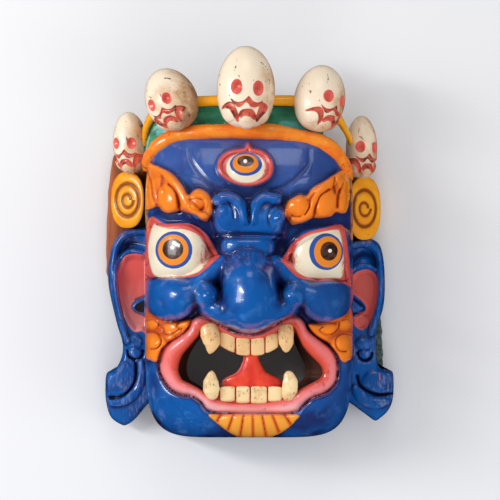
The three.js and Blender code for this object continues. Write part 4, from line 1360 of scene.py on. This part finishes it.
class Paints:
    """A new material and the nodes that are put into it."""

    def __init__(self, name):
        self.material = bpy.data.materials.new(name)
        self.material.use_nodes = True
        self.tree = self.material.node_tree
        self.shader = self.tree.nodes["Principled BSDF"]
        self.place = self.node("ShaderNodeTexCoord", out="Object")

    def node(self, kind, settings=None, inputs=None, out=0):
        """Adds a node, sets its options, then the values or links of its sockets. Gives one output."""
        node = self.tree.nodes.new(kind)
        for key, value in (settings or {}).items():
            setattr(node, key, value)
        for key, value in (inputs or {}).items():
            self.feed(node.inputs[key], value)
        return Wire(self, node.outputs[out])

    def feed(self, socket, value):
        """Links a wire to a socket, or sets a number or a colour on it."""
        if isinstance(value, Wire):
            self.tree.links.new(value.socket, socket)
        elif socket.type == "RGBA" and len(value) == 3:
            socket.default_value = (*value, 1.0)
        else:
            socket.default_value = value

    def axis(self, number):
        """How far along x, y or z a place lies, for number 0, 1 or 2, in metres."""
        return self.node("ShaderNodeSeparateXYZ", None, {0: self.place}, out=number)

    def field(self, name):
        """A value that the mesh holds at its points."""
        return self.node("ShaderNodeAttribute", {"attribute_name": name}, out="Fac")

    def stretched(self, x=1.0, y=1.0, z=1.0, turn=(0.0, 0.0, 0.0)):
        """Places turned and scaled: a pattern is drawn out along an axis whose scale is under 1."""
        return self.node(
            "ShaderNodeMapping", None, {"Vector": self.place, "Scale": (x, y, z), "Rotation": turn}
        )

    def noise(self, scale, detail=3.0, rough=0.55, at=None, warp=0.0):
        inputs = {"Vector": at or self.place, "Scale": scale, "Detail": detail}
        return self.node("ShaderNodeTexNoise", None, {**inputs, "Roughness": rough, "Distortion": warp})

    def streaks(self, scale, detail, rough, squeeze, turn=0.0):
        """Noise drawn out along the mask's height by its squeeze, then turned in the mask's plane."""
        return self.noise(scale, detail, rough, at=self.stretched(1.0, squeeze, 1.0, turn=(0, 0, turn)))

    def mix(self, share, under, over):
        """One colour over another by a share that is kept between 0 and 1."""
        settings = {"data_type": "RGBA", "blend_type": "MIX", "clamp_factor": True}
        return self.node("ShaderNodeMix", settings, {0: share, 6: under, 7: over}, out=2)

    def finish(self, base, rough, bump=None, strength=0.5, distance=0.0006, coat=0.35, coat_rough=0.08):
        """Feeds the shader. With no coat given, its weight stays as it was fed before."""
        shader = self.shader.inputs
        self.feed(shader["Base Color"], base)
        self.feed(shader["Roughness"], rough)
        if coat is not None:
            shader["Coat Weight"].default_value = coat
        shader["Coat Roughness"].default_value = coat_rough
        if bump is not None:
            inputs = {"Strength": strength, "Distance": distance, "Height": bump}
            self.feed(shader["Normal"], self.node("ShaderNodeBump", None, inputs, out="Normal"))
        return self.material


def brushed(paints, colour_wire, amount=0.16):
    """Brush strokes and slow blotches over a colour: darker and lighter by the amount."""
    slow = paints.noise(28, 3.0, 0.5)
    stroke = paints.streaks(90, 4.0, 0.6, 0.22, 0.5)
    shade = 1 + ((slow - 0.5) * 1.4 + (stroke - 0.5) * 0.9) * amount * 2
    return paints.node(
        "ShaderNodeVectorMath", {"operation": "SCALE"}, {0: colour_wire, "Scale": shade}
    )


def washed(paints, base, wash, crease, start=0.12, end=0.75, strength=0.9, scale=240):
    """Dark wash left in the grooves, broken up by noise."""
    speck = paints.noise(scale, 5.0, 0.65)
    amount = (crease + (speck - 0.5) * 0.5).ramp(start, end) * strength
    return paints.mix(amount, base, wash)


def face_paint(colours):
    """Enamel colours by the distances to their edges, each with its own wash in the grooves. Painted shade
    darkens the hollows, the right side and the bare wood inside; painted sheen and highlights lighten the
    blue and the lower lip.
    """
    paints = Paints("painted_face")
    fine = paints.noise(260, 3.0, 0.6) - 0.5

    def edge(name, width=0.3):
        return (paints.field(name) + fine * 0.9).ramp(-width, width)

    crease, hollow = paints.field("crease"), paints.field("hollow")
    up = paints.axis(1)
    across = paints.axis(0)
    slow = paints.noise(16, 3.0, 0.55)
    patch = paints.streaks(38, 2.0, 0.5, 0.7, 0.3)
    high = (up + (slow - 0.5) * 0.07).ramp(0.03, 0.08)
    # navy in random patches, and as painted shade deeper in the hollows
    blue = paints.mix((patch + hollow * 0.5).ramp(0.36, 0.72), colours.blue, colours.navy)
    # painted sheen: lighter blue blotches over the blue, kept out of the hollows
    painted_sheen = paints.noise(55, 4.0, 0.6, warp=0.6).ramp(0.52, 0.7) * (1 - (hollow * 2).limited())
    blue = paints.mix(painted_sheen * 0.5, blue, srgb(66, 134, 206))
    tinted = paints.mix(patch.ramp(0.42, 0.62), colours.violet, srgb(52, 96, 176))
    tinted = paints.mix(paints.noise(52, 3.0).ramp(0.6, 0.74) * 0.35, tinted, srgb(120, 92, 120))
    blue = brushed(paints, paints.mix(high * 0.8, blue, tinted), 0.12)
    # painted shade: darker navy in the hollows of the carving
    blue = paints.mix((hollow + (slow - 0.5) * 0.5).ramp(0.08, 0.55) * 0.7, blue, srgb(14, 34, 92))
    blue = washed(paints, blue, srgb(16, 22, 62), crease, 0.4, 1.3, 0.8)
    # painted sheen: lilac streaks on the left half of the face, where the light falls
    lilac = paints.streaks(62, 4.0, 0.6, 0.6, -0.4).ramp(0.57, 0.72)
    blue = paints.mix(lilac * (across + 0.02).ramp(0.06, -0.06) * 0.28, blue, srgb(128, 148, 200))
    scuffed = paints.streaks(300, 5.0, 0.75, 0.3, -0.5).ramp(0.6, 0.7)
    blue = paints.mix(scuffed * slow.ramp(0.48, 0.6) * 0.45, blue, srgb(150, 152, 198))
    lips = paints.field("lip")
    shaded = (across + (slow - 0.5) * 0.12 + (patch - 0.5) * 0.05).ramp(0.03, 0.1)
    blue = paints.mix(shaded * 0.5, blue, srgb(34, 46, 104))
    border = lips.ramp(-4.2, -3.2) * lips.ramp(0.2, -0.6)
    blue = paints.mix(border * 0.7, blue, srgb(24, 40, 104))
    below = (up + (slow - 0.5) * 0.01).ramp(-0.158, -0.163)
    blue = paints.mix(lips.ramp(-3.4, -2.2) * below, blue, srgb(48, 116, 196))
    # orange darkens in random blotches and, as painted shade, in the hollows
    orange = paints.mix((hollow * 0.8 + slow - 0.5).ramp(-0.25, 0.45), colours.orange, srgb(214, 86, 12))
    beard, lock = paints.field("beard"), paints.field("lock")
    hair = paints.mix(lock.ramp(0.15, 0.75), srgb(236, 106, 10), srgb(255, 168, 56))
    orange = paints.mix(beard.ramp(0.0, 0.4), orange, hair)
    orange = washed(paints, brushed(paints, orange, 0.09), srgb(140, 50, 8), crease, 0.4, 1.2, 0.85)
    orange = paints.mix(lock.ramp(0.16, 0.04) * 0.85, orange, srgb(96, 40, 12))
    base = paints.mix(edge("orange"), blue, orange)
    pink = paints.mix(paints.noise(60, 3.0).ramp(0.35, 0.65), colours.pink, srgb(222, 84, 74))
    pink = washed(paints, pink, srgb(130, 34, 34), crease, 0.2, 0.9, 0.9)
    worn = paints.noise(260, 5.0, 0.75).ramp(0.55, 0.62) * paints.field("flush").ramp(0.05, 0.4)
    pink = paints.mix(worn * 0.7, pink, srgb(120, 40, 34))
    base = paints.mix(edge("lid"), base, pink)
    inward = paints.field("lip_in") + (paints.noise(30, 3.0) - 0.5) * 0.5
    upper = (up + (slow - 0.5) * 0.05).ramp(-0.15, -0.095)
    lip = paints.mix(inward.ramp(0.3, 0.9) * 0.75 + upper * 0.5, colours.lip, srgb(232, 84, 66))
    lip = paints.mix(inward.ramp(0.75, 1.05) * upper * 0.8, lip, srgb(170, 44, 36))
    crackle = paints.noise(210, 5.0, 0.75).ramp(0.56, 0.64) * paints.noise(30, 2.0).ramp(0.46, 0.6)
    # painted highlight: paler pink on the outer part of the lower lip
    pale = (up + (slow - 0.5) * 0.08).ramp(-0.13, -0.16) * inward.ramp(0.8, 0.3)
    lip = paints.mix(pale * 0.7, lip, srgb(255, 196, 198))
    lip = paints.mix(crackle * inward.ramp(0.1, 0.6) * 0.55, lip, srgb(110, 26, 24))
    base = paints.mix(edge("lip"), base, lip)
    white = paints.mix(paints.noise(70, 4.0).ramp(0.45, 0.75) * 0.3, colours.white, srgb(240, 200, 168))
    scratch = paints.streaks(300, 5.0, 0.75, 0.3, 0.9)
    flush = paints.field("flush")
    white = paints.mix((flush + (scratch - 0.5) * 0.9).ramp(0.25, 1.1) * 0.7, white, srgb(246, 150, 128))
    scratched = (scratch + flush * 0.16).ramp(0.64, 0.7) * flush.ramp(0.2, 0.8)
    white = paints.mix(scratched * 0.7, white, srgb(130, 56, 40))
    rim = paints.field("white").ramp(1.4, 0.1) * 0.7
    white = paints.mix(rim, white, srgb(190, 96, 78))
    base = paints.mix(edge("white"), base, white)
    base = paints.mix(edge("ring", 0.25), base, colours.iris)
    base = paints.mix(edge("amber", 0.25), base, colours.amber)
    pupil = paints.mix(paints.noise(160, 4.0).ramp(0.45, 0.7), colours.pupil, srgb(104, 66, 52))
    base = paints.mix(edge("pupil", 0.25), base, pupil)
    base = paints.mix(paints.field("glint").ramp(-0.2, 0.3), base, srgb(252, 250, 246))
    base = paints.mix((crease + fine * 0.5).ramp(0.85, 1.35) * 0.4, base, colours.wash)
    base = paints.mix(worn_specks(paints, 0.66) * 0.75, base, colours.wash)
    ragged = (paints.field("chip") + fine * 5).ramp(0.0, 1.0)
    base = paints.mix(ragged * 0.9, base, srgb(30, 26, 34))
    wood = bare_wood(paints, colours)
    # painted shade: the bare wood inside the hollow and the mouth darkens with height, so it reads as in
    # shade
    dark = paints.axis(2).ramp(-0.02, 0.08)
    wood = paints.mix(dark * 0.85, wood, srgb(44, 16, 8))
    bare = paints.field("skin").ramp(0.55, 0.45)
    base = paints.mix(bare, base, wood)
    rough = 0.22 + paints.noise(150, 4.0, 0.6) * 0.16 + crease.larger(0.0) * 0.3 + bare * 0.5
    paints.feed(paints.shader.inputs["Coat Weight"], 1 - bare)
    stroke = paints.streaks(140, 4.0, 0.6, 0.3, 0.4)
    bump = stroke * 0.5 + paints.noise(36, 2.0) * 1.4
    return paints.finish(base, rough, bump, 0.4, 0.0009, coat=None, coat_rough=0.09)


def worn_specks(paints, start):
    """Sparse small chips: fine noise over a threshold where slow noise lets it."""
    return paints.noise(330, 5.0, 0.7).ramp(start, start + 0.05) * paints.noise(34, 2.0).ramp(0.5, 0.62)


def bare_wood(paints, colours):
    """Long grain along the mask's height, with darker lines and pores."""
    grain = paints.streaks(90, 6.0, 0.6, 0.06)
    lines = paints.streaks(420, 4.0, 0.7, 0.04)
    tint = paints.mix(grain.ramp(0.35, 0.7), colours.wood, srgb(104, 52, 30))
    return paints.mix(lines.ramp(0.55, 0.75) * 0.7, tint, srgb(52, 26, 18))


def ledge_paint(colours):
    """Bare wood, with dark green-grey on the strip behind the right ear: partly paint, partly painted shade
    of the block's side there.
    """
    paints = Paints("bare_wood")
    grain = paints.streaks(200, 5.0, 0.6, 0.08)
    speck = paints.noise(320, 4.0, 0.7)
    # dark green-grey strip: partly its paint, partly painted shade of the block's shaded side
    strip = paints.mix(speck.ramp(0.4, 0.65), srgb(46, 62, 62), srgb(92, 110, 104))
    base = paints.mix(paints.field("green").ramp(-0.4, 0.4), bare_wood(paints, colours), strip)
    return paints.finish(base, 0.75 + grain * 0.15, grain, 0.6, 0.0012, coat=0.0)


def skull_paint(colours):
    """Cream enamel, brown and dirty where it is worn and, as painted shade, towards each skull's right and
    bottom, red in its hollows, with dark rims and chips.
    """
    paints = Paints("painted_skulls")
    wear = paints.field("wear")
    shift = {0: paints.place, 1: (0.31, 0.17, 0.05)}
    moved = paints.node("ShaderNodeVectorMath", {"operation": "ADD"}, shift)
    slow = paints.noise(26, 4.0, 0.6, at=moved)
    # tan where the wear field is high: real wear, and painted shade on each skull's right and lower side
    base = paints.mix((slow + (wear - 0.5) * 0.45).ramp(0.4, 0.75), colours.bone, srgb(218, 176, 134))
    mottled = paints.noise(110, 6.0, 0.72, at=moved)
    dirty = (wear + (slow - 0.5) * 1.2 + (mottled - 0.5) * 1.6).ramp(0.8, 1.35)
    base = paints.mix(dirty * 0.7, base, srgb(140, 92, 56))
    fine = paints.noise(380, 3.0, 0.6) - 0.5
    red, socket = paints.field("red") + fine * 0.3, paints.field("socket")
    deep = paints.mix((socket + 1.0).larger(0.0) * 0.8, srgb(226, 104, 82), colours.socket)
    inner = paints.mix(paints.noise(90, 3.0).ramp(0.45, 0.7) * 0.6, deep, srgb(186, 60, 44))
    base = paints.mix(red.ramp(-0.5, 0.1), base, inner)
    rim = red.ramp(-0.8, 0.1) * red.ramp(1.5, 0.5) * paints.noise(70, 3.0, 0.6, at=moved).ramp(0.48, 0.62)
    base = paints.mix(rim * socket.ramp(-1.0, -2.0) * 0.85, base, srgb(84, 26, 18))
    chip = paints.streaks(230, 5.0, 0.75, 0.6, 0.3)
    chipped = (chip + wear * 0.05).ramp(0.645, 0.67) * slow.ramp(0.44, 0.54)
    base = paints.mix(chipped * socket.ramp(-0.5, -1.5) * 0.85, base, srgb(54, 34, 24))
    struck = (paints.field("chip") + (chip - 0.5) * 5.0 - 0.5).ramp(-0.1, 0.3)
    base = paints.mix(struck * 0.9, base, srgb(48, 30, 22))
    rough = 0.26 + mottled * 0.25
    return paints.finish(base, rough, mottled * 0.6 + slow, 0.3, 0.0008, coat=0.7, coat_rough=0.08)


def plain_paint(name, light, dark, groove, wear=0.5, sheen=None, streaks=(0.35, 1.0, 1.0)):
    """An enamel that goes from light to dark in blotches and streaks, dark in its grooves and chipped
    in places, darker as painted shade on the side its mesh marks, with patches of painted sheen where one is
    given."""
    paints = Paints(name)
    crease = paints.field("crease")
    slow = paints.noise(30, 4.0, 0.6)
    stroke = paints.noise(110, 4.0, 0.6, at=paints.stretched(*streaks))
    base = paints.mix((slow * 0.5 + stroke * 0.5 + crease * 0.3).ramp(0.4, 0.64), light, dark)
    if sheen:
        patches = paints.noise(44, 3.0, at=paints.stretched(0.5, 1.0, 1.0)).ramp(0.5, 0.6)
        base = paints.mix(patches * 0.8, base, sheen)
    # painted shade: towards the dark tone on the side the mesh marks as shaded
    base = paints.mix((paints.field("shaved") + (stroke - 0.5) * 2.0).ramp(0.4, 1.2) * 0.5, base, dark)
    base = washed(paints, base, groove, crease, 0.25, 1.0, 0.9)
    base = paints.mix(worn_specks(paints, 0.68 - wear * 0.09), base, groove)
    rough = 0.24 + paints.noise(150, 4.0, 0.6) * 0.2
    return paints.finish(base, rough, stroke * 0.8 + slow, 0.4, 0.001, coat=0.8)


def ear_paint(colours):
    """Blue enamel worn to a greyish lilac on its ridges, with the shell of the ear pink, a deeper red at the
    right ear as painted shade.
    """
    paints = Paints("painted_ears")
    fine = paints.noise(260, 3.0, 0.6) - 0.5
    crease = paints.field("crease")
    slow = paints.noise(30, 4.0, 0.6)
    blue = paints.mix((slow + crease * 0.3).ramp(0.4, 0.75), colours.blue, srgb(26, 58, 124))
    worn = paints.streaks(300, 5.0, 0.75, 0.25).ramp(0.47, 0.62)
    blue = paints.mix(worn * (slow - crease * 0.2).ramp(0.42, 0.62) * 0.5, blue, srgb(146, 152, 192))
    streak = paints.noise(46, 3.0, at=paints.stretched(1.0, 0.3, 1.0))
    pink = paints.mix(streak.ramp(0.35, 0.65), srgb(255, 150, 142), srgb(255, 98, 88))
    # painted shade: the pink of the ear at the right, on the shaded side, is a deeper red
    across = paints.axis(0)
    pink = paints.mix(across.ramp(0.0, 0.05) * 0.85, pink, srgb(232, 92, 80))
    base = paints.mix((paints.field("pink") + fine).ramp(-0.35, 0.35), brushed(paints, blue, 0.14), pink)
    base = washed(paints, base, srgb(24, 18, 38), crease, 0.25, 1.1, 0.85)
    rough = 0.24 + paints.noise(150, 4.0, 0.6) * 0.2
    stroke = paints.streaks(140, 4.0, 0.6, 0.3)
    return paints.finish(base, rough, stroke * 0.7 + slow, 0.35, 0.0009, coat=0.8)


def teeth_paint(colours):
    """Ivory with fine dark scratches, browner at the roots, and red gums."""
    paints = Paints("painted_teeth")
    slow = paints.noise(60, 4.0, 0.6)
    base = paints.mix(slow.ramp(0.45, 0.75) * 0.6, colours.ivory, srgb(222, 164, 100))
    edge = paints.field("edge")
    base = paints.mix((edge.ramp(0.25, 0.0) + slow - 0.5) * 0.35, base, srgb(206, 134, 80))
    up = paints.axis(1)
    base = paints.mix(up.ramp(-0.128, -0.118) * 0.55, base, srgb(244, 184, 116))
    hatch = paints.streaks(480, 4.0, 0.7, 0.4, 0.7).ramp(0.56, 0.64)
    base = paints.mix(hatch * slow.ramp(0.42, 0.56) * 0.7, base, srgb(84, 46, 28))
    gum = paints.mix(slow.ramp(0.35, 0.65), srgb(226, 92, 74), srgb(176, 52, 44))
    base = paints.mix(paints.field("gum").ramp(-1.0, 1.0), base, gum)
    rough = 0.28 + paints.noise(150, 4.0, 0.6) * 0.2
    return paints.finish(base, rough, slow, 0.3, 0.0009, coat=0.4)


def tongue_paint(colours):
    """Red enamel, with a painted highlight along its left edge."""
    paints = Paints("painted_tongue")
    slow = paints.noise(34, 4.0, 0.6)
    deep = (slow + paints.field("crease") * 0.3).ramp(0.34, 0.66)
    base = paints.mix(deep, colours.tongue, srgb(226, 52, 38))
    # painted highlight: paler pink along the left edge, the side the light comes from
    pale = (paints.field("rim") * -1.0 + (slow - 0.5) * 0.3).ramp(0.84, 0.97)
    base = paints.mix(pale * 0.6, base, srgb(255, 150, 150))
    rough = 0.26 + paints.noise(150, 4.0, 0.6) * 0.2
    return paints.finish(base, rough, slow, 0.35, 0.0009, coat=0.5)


# Operators


class MASK_OT_face(bpy.types.Operator):
    """Carves the face, hollows it and opens its mouth"""

    bl_idname = "mask.face"
    bl_label = "Face"

    def execute(self, context):
        sizes, colours = context.scene.mask_sizes, context.scene.mask_colours
        face = face_piece(sizes)
        cut(face, hollow_form("hollow", sizes))
        cut(face, mouth_form())
        cut(face, prism("corner", np.array(FACE_CORNER, float), BELOW, ABOVE))
        finish(face, face_paint(colours))
        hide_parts("mask")
        return {"FINISHED"}


class MASK_OT_mouth(bpy.types.Operator):
    """Sets teeth, gums and tongue into the open mouth"""

    bl_idname = "mask.mouth"
    bl_label = "Teeth and tongue"

    def execute(self, context):
        sizes, colours = context.scene.mask_sizes, context.scene.mask_colours
        finish(teeth_piece(sizes), teeth_paint(colours))
        finish(tongue_piece(sizes), tongue_paint(colours))
        return {"FINISHED"}


class MASK_OT_crown(bpy.types.Operator):
    """Lays roll, band and rim of the crown over the forehead"""

    bl_idname = "mask.crown"
    bl_label = "Crown"

    def execute(self, context):
        sizes, colours = context.scene.mask_sizes, context.scene.mask_colours
        roll, band, rim = crown_pieces(sizes)
        brown = srgb(92, 34, 12)
        finish(roll, plain_paint("crown_orange", colours.crown, srgb(246, 112, 18), brown, 0.9))
        moss, sheen = srgb(24, 50, 36), srgb(96, 206, 206)
        finish(band, plain_paint("crown_green", colours.green, srgb(34, 112, 82), moss, 0.3, sheen))
        finish(rim, plain_paint("crown_yellow", colours.yellow, srgb(252, 170, 24), srgb(84, 40, 16), 0.9))
        return {"FINISHED"}


class MASK_OT_skulls(bpy.types.Operator):
    """Sets the five skulls on the crown"""

    bl_idname = "mask.skulls"
    bl_label = "Skulls"

    def execute(self, context):
        finish(skulls_piece(), skull_paint(context.scene.mask_colours))
        return {"FINISHED"}


class MASK_OT_ears(bpy.types.Operator):
    """Adds both ears, the discs above them and the rough back"""

    bl_idname = "mask.ears"
    bl_label = "Ears, discs and back"

    def execute(self, context):
        sizes, colours = context.scene.mask_sizes, context.scene.mask_colours
        left = ear_piece("ear_left", sizes, LEFT_EAR_EDGE, -96.0, left_ear_form)
        hole = smooth_line(LEFT_EAR_HOLE, 60, True)
        cut(left, prism("ear_hole", hole, -10.0, 80.0))
        right = ear_piece("ear_right", sizes, RIGHT_EAR_EDGE, 96.0, right_ear_form)
        paint = ear_paint(colours)
        finish(left, paint)
        finish(right, paint)
        brown = srgb(120, 52, 8)
        finish(discs_piece(sizes), plain_paint("disc_yellow", colours.yellow, srgb(246, 150, 8), brown, 0.9))
        ledge = ledge_piece()
        cut(ledge, hollow_form("hollow", sizes))
        cut(ledge, prism("ear_hole", hole, -10.0, 80.0))
        finish(ledge, ledge_paint(colours))
        return {"FINISHED"}


def area_light(name, place, aim, size, power, height=None):
    """A white panel of light at a place, turned to shine at the aim. It is square unless it has a
    height of its own."""
    light = bpy.data.lights.new(name, "AREA")
    light.energy = power
    light.shape = "RECTANGLE" if height else "SQUARE"
    light.size = size
    if height:
        light.size_y = height
    lamp = bpy.data.objects.new(name, light)
    direction = Vector(aim) - Vector(place)
    turn = direction.to_track_quat("-Z", "Y").to_matrix().to_4x4()
    lamp.matrix_world = Matrix.Translation(Vector(place)) @ turn
    bpy.context.scene.collection.objects.link(lamp)
    return lamp


class MASK_OT_stage(bpy.types.Operator):
    """Lays the pale floor and sets the soft lights and the camera above the mask"""

    bl_idname = "mask.stage"
    bl_label = "Stage"

    def execute(self, context):
        scene = context.scene
        half_size, lines = 3.0, 13
        u, v = np.meshgrid(*[np.linspace(-half_size, half_size, lines)] * 2, indexing="ij")
        points = np.stack([u, v, np.full_like(u, -0.2 * MM)], -1).reshape(-1, 3)
        floor = build("floor", points, [grid_faces(lines, lines)[:, ::-1]])
        paints = Paints("pale_floor")
        paints.finish(srgb(236, 236, 238), 0.9, None, coat=0.0)
        floor.data.materials.append(paints.material)
        floor.visible_glossy = False
        world = bpy.data.worlds.new("studio")
        world.use_nodes = True
        sky = world.node_tree.nodes["Background"].inputs
        sky["Color"].default_value = (0.96, 0.97, 1.0, 1.0)
        sky["Strength"].default_value = 0.53
        world.cycles_visibility.glossy = False
        scene.world = world
        scene.view_settings.view_transform = "Standard"
        area_light("left", (-1.85, 0.35, 1.15), (0, 0, 0.05), 0.9, 13.0)
        area_light("window", (-1.25, 0.35, 1.2), (0, 0, 0.1), 0.2, 9.0, 0.7)
        area_light("top", (0.1, 2.2, 1.6), (0, 0, 0.05), 1.2, 7.0)
        fills = (("right", (2.2, -0.6, 1.4), 15.0), ("bottom", (0.3, -2.2, 1.4), 13.0))
        for name, place, power in fills:
            area_light(name, place, (0, 0, 0), 1.4, power).visible_glossy = False
        camera = bpy.data.objects.new("camera", bpy.data.cameras.new("camera"))
        camera.data.sensor_width = 36.0
        camera.data.sensor_fit = "HORIZONTAL"
        camera.data.lens = 36.0 * (CAMERA_HEIGHT - MEASURED_DEPTH) / SEEN_WIDTH
        camera.data.clip_end = 50.0
        camera.location = (
            CAMERA_OVER[0] * MM,
            (CAMERA_OVER[1] + DRAWING_TO_FRAME_Y) * MM,
            CAMERA_HEIGHT * MM,
        )
        scene.collection.objects.link(camera)
        scene.camera = camera
        return {"FINISHED"}


class MASK_PT_panel(bpy.types.Panel):
    bl_label = "Carved deity mask"
    bl_idname = "MASK_PT_panel"
    bl_space_type = "VIEW_3D"
    bl_region_type = "UI"
    bl_category = "Mask"

    def draw(self, context):
        layout = self.layout
        for group in (context.scene.mask_sizes, context.scene.mask_colours):
            box = layout.box()
            for name in group.__annotations__:
                box.prop(group, name)
        for operator in OPERATORS:
            layout.operator(operator.bl_idname)


OPERATORS = (MASK_OT_face, MASK_OT_mouth, MASK_OT_crown, MASK_OT_skulls, MASK_OT_ears, MASK_OT_stage)
CLASSES = (MaskSizes, MaskColours, *OPERATORS, MASK_PT_panel)


def register():
    for each in CLASSES:
        bpy.utils.register_class(each)
    bpy.types.Scene.mask_sizes = bpy.props.PointerProperty(type=MaskSizes)
    bpy.types.Scene.mask_colours = bpy.props.PointerProperty(type=MaskColours)


def unregister():
    del bpy.types.Scene.mask_colours
    del bpy.types.Scene.mask_sizes
    for each in reversed(CLASSES):
        bpy.utils.unregister_class(each)


def main():
    """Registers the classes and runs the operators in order."""
    register()
    bpy.ops.mask.face()
    bpy.ops.mask.mouth()
    bpy.ops.mask.crown()
    bpy.ops.mask.skulls()
    bpy.ops.mask.ears()
    bpy.ops.mask.stage()


if __name__ == "__main__":
    main()
